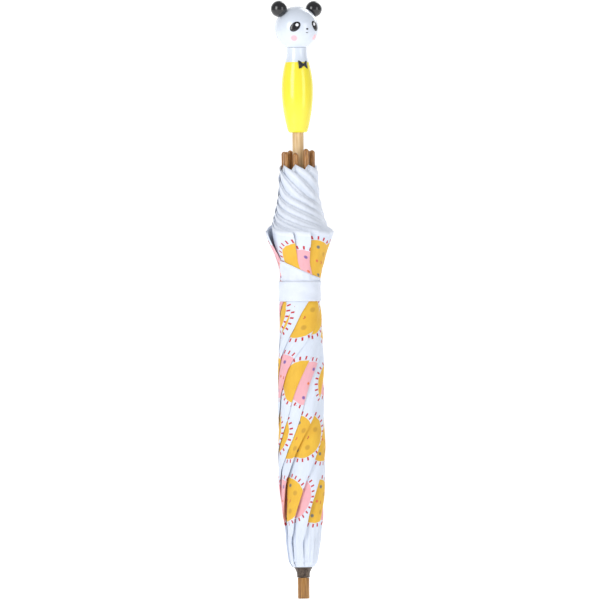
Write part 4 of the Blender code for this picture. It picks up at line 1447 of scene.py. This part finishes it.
    # What lies over what: the colour under it, the distance that is measured, the distance that it
    # reaches, its soft edge, its strength, and its own colour. First the face goes on the sun.
    layers = []
    mirrored = add(tree, "ShaderNodeCombineXYZ", {"X": values["x"], "Y": values["half_y"]})
    for (across, along), radius, edge, strength, tint in (
        ((10.4, 10.4), 2.7, 1.1, 0.7, "cheek"),
        ((0.0, 16.6), 1.9, 0.7, 0.9, "eye"),
        ((0.0, 0.0), 1.6, 0.5, 1.0, paint("#E2723F")),
        ((6.6, 0.0), 0.8, 0.3, 1.0, paint("#C9603A")),
        ((6.0, 1.2), 0.7, 0.3, 1.0, paint("#C9603A")),
    ):
        centre = (across * MM, along * MM, 0.0)
        spot = add(
            tree, "ShaderNodeVectorMath", {0: mirrored.outputs[0], 1: centre}, operation="DISTANCE"
        )
        layers.append(("sun", spot.outputs["Value"], radius * MM, edge * MM, strength, tint))
    # then the sun and its rays go on the cloth; the hem is folded over twice, so it looks whiter
    layers += [
        ("cloth", values["wavy_away"], SUN_RADIUS, EDGE, 1.0, "sun"),
        ("cloth", values["ray_shape"], RAY_HALF_WIDTH, EDGE, 1.0, paint("#C01F2B")),
        ("cloth", values["to_hem"], 6.0 * MM, EDGE, 0.4, paint("#EEF1F9")),
    ]
    for under, distance, radius, edge, strength, tint in layers:
        limits = {"From Min": radius + edge, "From Max": radius - edge, "To Max": strength}
        inside = add(
            tree,
            "ShaderNodeMapRange",
            {"Value": distance, **limits},
            interpolation_type="SMOOTHSTEP",
        )
        layer = {"Factor": inside.outputs[0], 6: tints[under], 7: tints.get(tint, tint)}
        tints[under] = add(tree, "ShaderNodeMix", layer, data_type="RGBA").outputs[2]
    return tints["cloth"]


# %% Cloth finish
def printed_cloth():
    material, tree = new_finish("printed_polyester")
    uv = add(tree, "ShaderNodeUVMap", uv_map="flat_cut").outputs["UV"]
    colour = sun_print(tree, uv)
    # plain weave, drawn at 0.9 mm where the real threads are 0.2 mm apart, so that it shows
    wave = {"Vector": uv, "Scale": 350.0, "Distortion": 0.4}
    warp = add(tree, "ShaderNodeTexWave", wave, bands_direction="X")
    weft = add(tree, "ShaderNodeTexWave", wave, bands_direction="Y")
    weave = add(
        tree, "ShaderNodeMath", {0: warp.outputs["Fac"], 1: weft.outputs["Fac"]}, operation="MULTIPLY"
    )
    # creases along the cloth, 3 to 10 mm wide
    stretch = {"Vector": uv, "Scale": (170.0, 34.0, 1.0)}
    crease_space = add(tree, "ShaderNodeMapping", stretch)
    creases = add(
        tree, "ShaderNodeTexNoise", {"Vector": crease_space.outputs[0], "Scale": 1.0, "Detail": 2.5}
    )
    threads = add(
        tree, "ShaderNodeBump", {"Strength": 0.12, "Distance": 0.0001, "Height": weave.outputs[0]}
    )
    relief = add(
        tree,
        "ShaderNodeBump",
        {
            "Strength": 0.8,
            "Distance": 0.0016,
            "Height": creases.outputs["Fac"],
            "Normal": threads.outputs["Normal"],
        },
    )
    shader = add(
        tree,
        "ShaderNodeBsdfPrincipled",
        {
            "Base Color": colour,
            "Roughness": 0.62,
            "Sheen Weight": 0.12,
            "Sheen Roughness": 0.4,
            "Normal": relief.outputs["Normal"],
        },
    )
    add(tree, "ShaderNodeOutputMaterial", {"Surface": shader.outputs["BSDF"]})
    return material


cloth = printed_cloth()
print("cloth nodes:", len(cloth.node_tree.nodes))

# %% Roll the petals
petals = {}
for number in range(1, RIB_COUNT + 1):
    points, across, along, hem = petal_grid(number)
    mesh = cloth_mesh(f"petal_{number}", points, across, along, hem, number)
    petal = show(f"petal_{number}", mesh, cloth, 80)
    wall = petal.modifiers.new("cloth_thickness", "SOLIDIFY")
    wall.thickness, wall.offset = CLOTH_THICKNESS, 0.0
    settle(petal)
    petals[number] = petal
print("petals:", sum(len(p.data.polygons) for p in petals.values()), "faces")
for number, petal in petals.items():
    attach(petal, HANDLE_BODY)
    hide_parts(f"canopy_panel_{number}")

# %% [markdown]
# ## Cloth: the open dome
# One mesh can't be both a tight roll and a dome, so each gore has two pieces. The petal
# above is the rolled shape. This one is a narrow strip, hidden in the roll between two ribs, whose
# outer columns reach right to the ribs. Its columns are spaced by a smooth step across the strip,
# and its flat cut spans a whole gore.

# %% Dome gores
DOME_HALF = 4.6 * MM  # of the strip, across
DOME_COLUMNS, DOME_ROWS = 28, 60
ARM_LENGTH = 437.0 * MM  # cloth along a rib, from its pivot


def turn_share(weight):
    """The place from 0 to 1 across the strip where a smooth step gives this weight."""
    return 0.5 - np.sin(np.arcsin(1 - 2 * weight) / 3)


def dome_grid(number):
    middle = rib_angle(number) + STEP / 2
    weight = np.linspace(0.0, 1.0, DOME_COLUMNS + 1)[None, :]
    angle = (2 * weight - 1) * SECTOR
    end = hem_length(angle, ARM_LENGTH)
    start = 0.3 * MM
    share = np.linspace(0.0, 1.0, DOME_ROWS + 1)[:, None]
    distance = start + share * (end - start)
    clearance = np.interp(distance / MM, (2.0, 9.0, 418.0, 430.0), (5.3, 3.8, 3.8, 4.6)) * MM
    radius = PIVOT_RADIUS + clearance + distance * math.sin(LEAN)
    across = DOME_HALF * (2 * turn_share(weight) - 1) + 0 * distance
    # the outer columns reach right to the ribs
    across[:, 0] = -radius[:, 0] * math.sin(STEP / 2)
    across[:, -1] = radius[:, -1] * math.sin(STEP / 2)
    out = np.sqrt(radius**2 - across**2)
    z = NOTCH_HEIGHT + distance * math.cos(LEAN)
    x = out * math.cos(middle) - across * math.sin(middle)
    y = out * math.sin(middle) + across * math.cos(middle)
    along = distance * np.cos(angle) + (NOTCH_HEIGHT - APEX_HEIGHT)
    return np.stack([x, y, z], -1), distance * np.sin(angle), along, end - distance


def across_gore(number, distance):
    """The point this far across the strip's middle."""
    middle = rib_angle(number) + STEP / 2
    return (-distance * math.sin(middle), distance * math.cos(middle), 0.0)


for number in range(1, RIB_COUNT + 1):
    points, across, along, hem = dome_grid(number)
    mesh = cloth_mesh(f"dome_gore_{number}", points, across, along, hem, number)
    dome = show(f"dome_gore_{number}", mesh, cloth, 80)
    wall = dome.modifiers.new("cloth_thickness", "SOLIDIFY")
    wall.thickness, wall.offset = DOME_THICKNESS, 0.0
    settle(dome)
    start, end = across_gore(number, -DOME_HALF), across_gore(number, DOME_HALF)
    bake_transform(dome)
    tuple(start)
    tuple(end)
    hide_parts(f"canopy_panel_{number}")
print("dome gores:", len(dome.data.polygons), "faces each")

# %% [markdown]
# ## Strap
# The strap is a hemmed band of the same white cloth, 22 mm wide. It comes out from under a fold, climbs
# down over the roll on its first turn, then goes once round level and closes at the back with
# a press stud. It lies on the roll, so its radius is the roll's own plus a little for each layer.

# %% Strap shape
STRAP_LOW, STRAP_HIGH = (c.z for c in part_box("strap"))
STRAP_WIDTH = STRAP_HIGH - STRAP_LOW
# degrees from the front, height of the upper edge in mm
STRAP_PATH = np.array(
    [
        (-95, 374.0),
        (-70, 372.5),
        (-45, 370.0),
        (-20, 366.0),
        (0, 362.0),
        (20, 358.5),
        (38, 355.5),
        (60, 353.2),
        (90, 351.0),
        (130, 349.4),
        (160, 349.0),
        (515, 349.0),
    ]
)
STRAP_LAYER = 0.45 * MM


def strap_point(turned, t):
    """A point on the strap: turned degrees from the front, t from 0 at its lower edge to 1."""
    upper = np.interp(turned, STRAP_PATH[:, 0], STRAP_PATH[:, 1]) * MM
    z = upper - STRAP_WIDTH * (1 - t)
    angle = FRONT + math.radians(turned)
    second = smoothstep((turned - 140) / 40)
    radius = slimmed(at_height(ROLL, 2, z) * MM, angle, z)
    radius = radius + wrinkles(angle, z) * (1 - 0.6 * second)
    tucked = smoothstep((turned + 95) / 38)
    layer = STRAP_LAYER * (1.6 * tucked - 2.2 * (1 - tucked) + 1.9 * second)
    # the edges are turned in and stand a little proud
    edge = 0.22 * MM * (abs(2 * t - 1) ** 6)
    sag = 0.25 * MM * math.sin(math.radians(turned) * 3.0 + 9.0 * t)
    radius = radius + layer + edge + sag
    return (radius * math.cos(angle), radius * math.sin(angle), float(z))


def strap_grid(turned, t):
    span = STRAP_PATH[-1, 0] - STRAP_PATH[0, 0]
    return strap_point(STRAP_PATH[0, 0] + span * turned, t)


STRAP_LENGTH = sum(
    (Vector(strap_grid(i / 200, 0.5)) - Vector(strap_grid((i + 1) / 200, 0.5))).length
    for i in range(200)
)

strap_cloth, tree = new_finish("white_hemmed_polyester")
place = add(tree, "ShaderNodeTexCoord").outputs["Object"]
# Two thicknesses of the canopy's cloth, pressed flat: matt white, cool, with weave and faint creases.
cloud = add(tree, "ShaderNodeTexNoise", {"Vector": place, "Scale": 90.0, "Detail": 3.0})
cloud_ramp = add(tree, "ShaderNodeValToRGB", {"Fac": cloud.outputs["Fac"]})
cloud_ramp.color_ramp.elements[0].color = paint("#DAE2F0")
cloud_ramp.color_ramp.elements[1].color = paint("#E5EAF5")
creases = add(tree, "ShaderNodeTexNoise", {"Vector": place, "Scale": 160.0, "Detail": 2.0})
bands = add(
    tree,
    "ShaderNodeTexWave",
    {"Vector": place, "Scale": 350.0, "Distortion": 0.5},
    bands_direction="Z",
)
threads = add(
    tree, "ShaderNodeBump", {"Strength": 0.15, "Distance": 0.0001, "Height": bands.outputs["Fac"]}
)
relief = add(
    tree,
    "ShaderNodeBump",
    {
        "Strength": 0.35,
        "Distance": 0.001,
        "Height": creases.outputs["Fac"],
        "Normal": threads.outputs["Normal"],
    },
)
shader = add(
    tree,
    "ShaderNodeBsdfPrincipled",
    {
        "Base Color": cloud_ramp.outputs["Color"],
        "Roughness": 0.65,
        "Sheen Weight": 0.15,
        "Normal": relief.outputs["Normal"],
    },
)
add(tree, "ShaderNodeOutputMaterial", {"Surface": shader.outputs["BSDF"]})
strap = settle(closed_grid("strap_band", strap_grid, 240, 12, 0.35 * MM, strap_cloth))

# The strap, its stitches and its stud ride on rib 2.
STRAP_RIB = 2
strap_rib = rib_angle(STRAP_RIB)


def folds_flat(piece):
    """Rides on rib 2."""
    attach(piece, f"rib_{STRAP_RIB}_arm")
    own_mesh(piece)


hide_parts("strap")
print("strap", round(STRAP_LENGTH * 1000), "mm long")

# %% [markdown]
# ## Stud and washer
# The press stud is a stamped disc with a rolled rim. The washer under the cap clamps the gathered
# cloth: a felt ring, hardly seen. Both are turned, and the stud is laid over to face outwards.

# %% Stud and washer
stud_low, stud_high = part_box("strap_stud")
STUD_RADIUS = 5.0 * MM
stud_profile = [
    (0.0, 1.25 * MM),
    (2.6 * MM, 1.2 * MM),
    (3.4 * MM, 0.95 * MM),
    (3.9 * MM, 1.25 * MM),
    (4.5 * MM, 1.35 * MM),
    (4.9 * MM, 1.0 * MM),
    (STUD_RADIUS, 0.5 * MM),
    (4.8 * MM, 0.0),
    (0.0, 0.0),
]
stud = turn("strap_press_stud", rounded(stud_profile, 0.25 * MM), bronze, steps=48, smooth=60)
stud_middle = (stud_low + stud_high) / 2
stud_out = Vector(strap_point(math.degrees(strap_rib - FRONT) % 360, 0.5))
stud_radius = math.hypot(stud_out.x, stud_out.y) + 0.35 * MM
stud.data.transform(
    Matrix.Rotation(strap_rib, 4, "Z")
    @ Matrix.Translation((stud_radius, 0, stud_middle.z))
    @ Matrix.Rotation(math.pi / 2, 4, "Y")
)
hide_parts("strap_stud")

washer_low, washer_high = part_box("canopy_washer")
felt, tree = new_finish("white_wool_felt")
place = add(tree, "ShaderNodeTexCoord").outputs["Object"]
fibres = add(tree, "ShaderNodeTexNoise", {"Vector": place, "Scale": 900.0, "Detail": 3.0})
fibre_ramp = add(tree, "ShaderNodeValToRGB", {"Fac": fibres.outputs["Fac"]})
fibre_ramp.color_ramp.elements[0].color = paint("#C9CEDA")
fibre_ramp.color_ramp.elements[1].color = paint("#E6EAF3")
fuzz = add(tree, "ShaderNodeBump", {"Strength": 0.6, "Distance": 0.0002, "Height": fibres.outputs["Fac"]})
shader = add(
    tree,
    "ShaderNodeBsdfPrincipled",
    {"Base Color": fibre_ramp.outputs["Color"], "Roughness": 0.95, "Normal": fuzz.outputs["Normal"]},
)
add(tree, "ShaderNodeOutputMaterial", {"Surface": shader.outputs["BSDF"]})
washer_profile = rounded(
    [
        (8.0 * MM, washer_low.z),
        (washer_high.x, washer_low.z),
        (washer_high.x, washer_high.z),
        (6.5 * MM, washer_high.z),
        (6.5 * MM, washer_low.z),
        (7.9 * MM, washer_low.z),
    ],
    0.2 * MM,
)
washer = turn("felt_washer", washer_profile, felt, ring=True, smooth=60)
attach(washer, HANDLE_BODY)
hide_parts("canopy_washer")

# %% [markdown]
# ## Stitches
# The hems of the canopy and both edges of the strap are sewn with white thread. Geometry Nodes lay
# the stitches: a path becomes a curve, is cut into equal steps, and gets a small bead, stretched
# along the path, at every step. The thread is drawn 0.4 mm thick, about twice the real one.

# %% Stitch tree
STITCH_PITCH, STITCH_LENGTH, THREAD_RADIUS = 3.0 * MM, 2.1 * MM, 0.2 * MM
thread, tree = new_finish("white_sewing_thread")
place = add(tree, "ShaderNodeTexCoord").outputs["Object"]
twist = add(
    tree,
    "ShaderNodeTexWave",
    {"Vector": place, "Scale": 1200.0, "Distortion": 1.0},
    bands_direction="DIAGONAL",
)
twist_ramp = add(tree, "ShaderNodeValToRGB", {"Fac": twist.outputs["Fac"]})
twist_ramp.color_ramp.elements[0].color = paint("#D3DAE8")
twist_ramp.color_ramp.elements[1].color = paint("#F3F5FA")
shader = add(
    tree,
    "ShaderNodeBsdfPrincipled",
    {"Base Color": twist_ramp.outputs["Color"], "Roughness": 0.55, "Sheen Weight": 0.2},
)
add(tree, "ShaderNodeOutputMaterial", {"Surface": shader.outputs["BSDF"]})

stitch_tree, sizes = new_tree(
    "row_of_stitches",
    (
        ("Pitch", "NodeSocketFloat", 0.003),
        ("Stitch Length", "NodeSocketFloat", 0.002),
        ("Thread Radius", "NodeSocketFloat", 0.0002),
        ("Material", "NodeSocketMaterial", None),
    ),
)
path = add(stitch_tree, "GeometryNodeMeshToCurve", {"Mesh": sizes.outputs["Geometry"]})
steps = add(
    stitch_tree,
    "GeometryNodeCurveToPoints",
    {"Curve": path.outputs[0], "Length": sizes.outputs["Pitch"]},
    mode="LENGTH",
)
bead = add(stitch_tree, "GeometryNodeMeshIcoSphere", {"Radius": 1.0, "Subdivisions": 1})
half = add(
    stitch_tree, "ShaderNodeMath", {0: sizes.outputs["Stitch Length"], 1: 0.5}, operation="MULTIPLY"
)
radius = sizes.outputs["Thread Radius"]
stretch = add(stitch_tree, "ShaderNodeCombineXYZ", {"X": radius, "Y": radius, "Z": half.outputs[0]})
laid = add(
    stitch_tree,
    "GeometryNodeInstanceOnPoints",
    {
        "Points": steps.outputs["Points"],
        "Instance": bead.outputs["Mesh"],
        "Rotation": steps.outputs["Rotation"],
        "Scale": stretch.outputs[0],
    },
)
end_tree(stitch_tree, laid.outputs[0], sizes.outputs["Material"])


def stitched(name, paths):
    """A row of stitches along each of these paths."""
    mesh = bpy.data.meshes.new(name + "_paths")
    points = [tuple(p) for path in paths for p in path]
    edges, first = [], 0
    for path in paths:
        edges += [(first + i, first + i + 1) for i in range(len(path) - 1)]
        first += len(path)
    mesh.from_pydata(points, edges, [])
    values = {
        "Pitch": STITCH_PITCH,
        "Stitch Length": STITCH_LENGTH,
        "Thread Radius": THREAD_RADIUS,
        "Material": thread,
    }
    return grown(name, stitch_tree, values, mesh)


# %% Sew the hems
HEM_SEAM = 5.0 * MM  # from the hem's edge


def hem_path(number):
    """Points on the petal's outside, along its hem stitching."""
    angles = np.linspace(-SECTOR * 0.995, SECTOR * 0.02, 90)
    spot = petal_points(number, hem_length(angles) - HEM_SEAM, angles, True)
    spread = np.hypot(spot[:, 0], spot[:, 1])
    lift = 1 + 0.12 * MM / spread
    return np.stack([spot[:, 0] * lift, spot[:, 1] * lift, spot[:, 2]], -1)


for number, petal in petals.items():
    hem = stitched(f"hem_stitches_{number}", [hem_path(number)])
    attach(hem, HANDLE_BODY)
    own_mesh(hem)
    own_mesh(petal)
    ribs = [f"rib_{number}", f"rib_{number % RIB_COUNT + 1}"]

edge_paths = []
for t in (0.1, 0.9):
    path = [Vector(strap_grid(i / 300, t)) for i in range(301)]
    lifts = [1 + 0.1 * MM / p.xy.length for p in path]
    edge_paths.append(
        [Vector((p.x, p.y, 0)) * lift + Vector((0, 0, p.z)) for p, lift in zip(path, lifts)]
    )
strap_stitches = stitched("strap_stitches", edge_paths)
for piece in (strap, strap_stitches, stud):
    folds_flat(piece)
print("stitches:", len(strap_stitches.data.polygons), "faces on the strap")
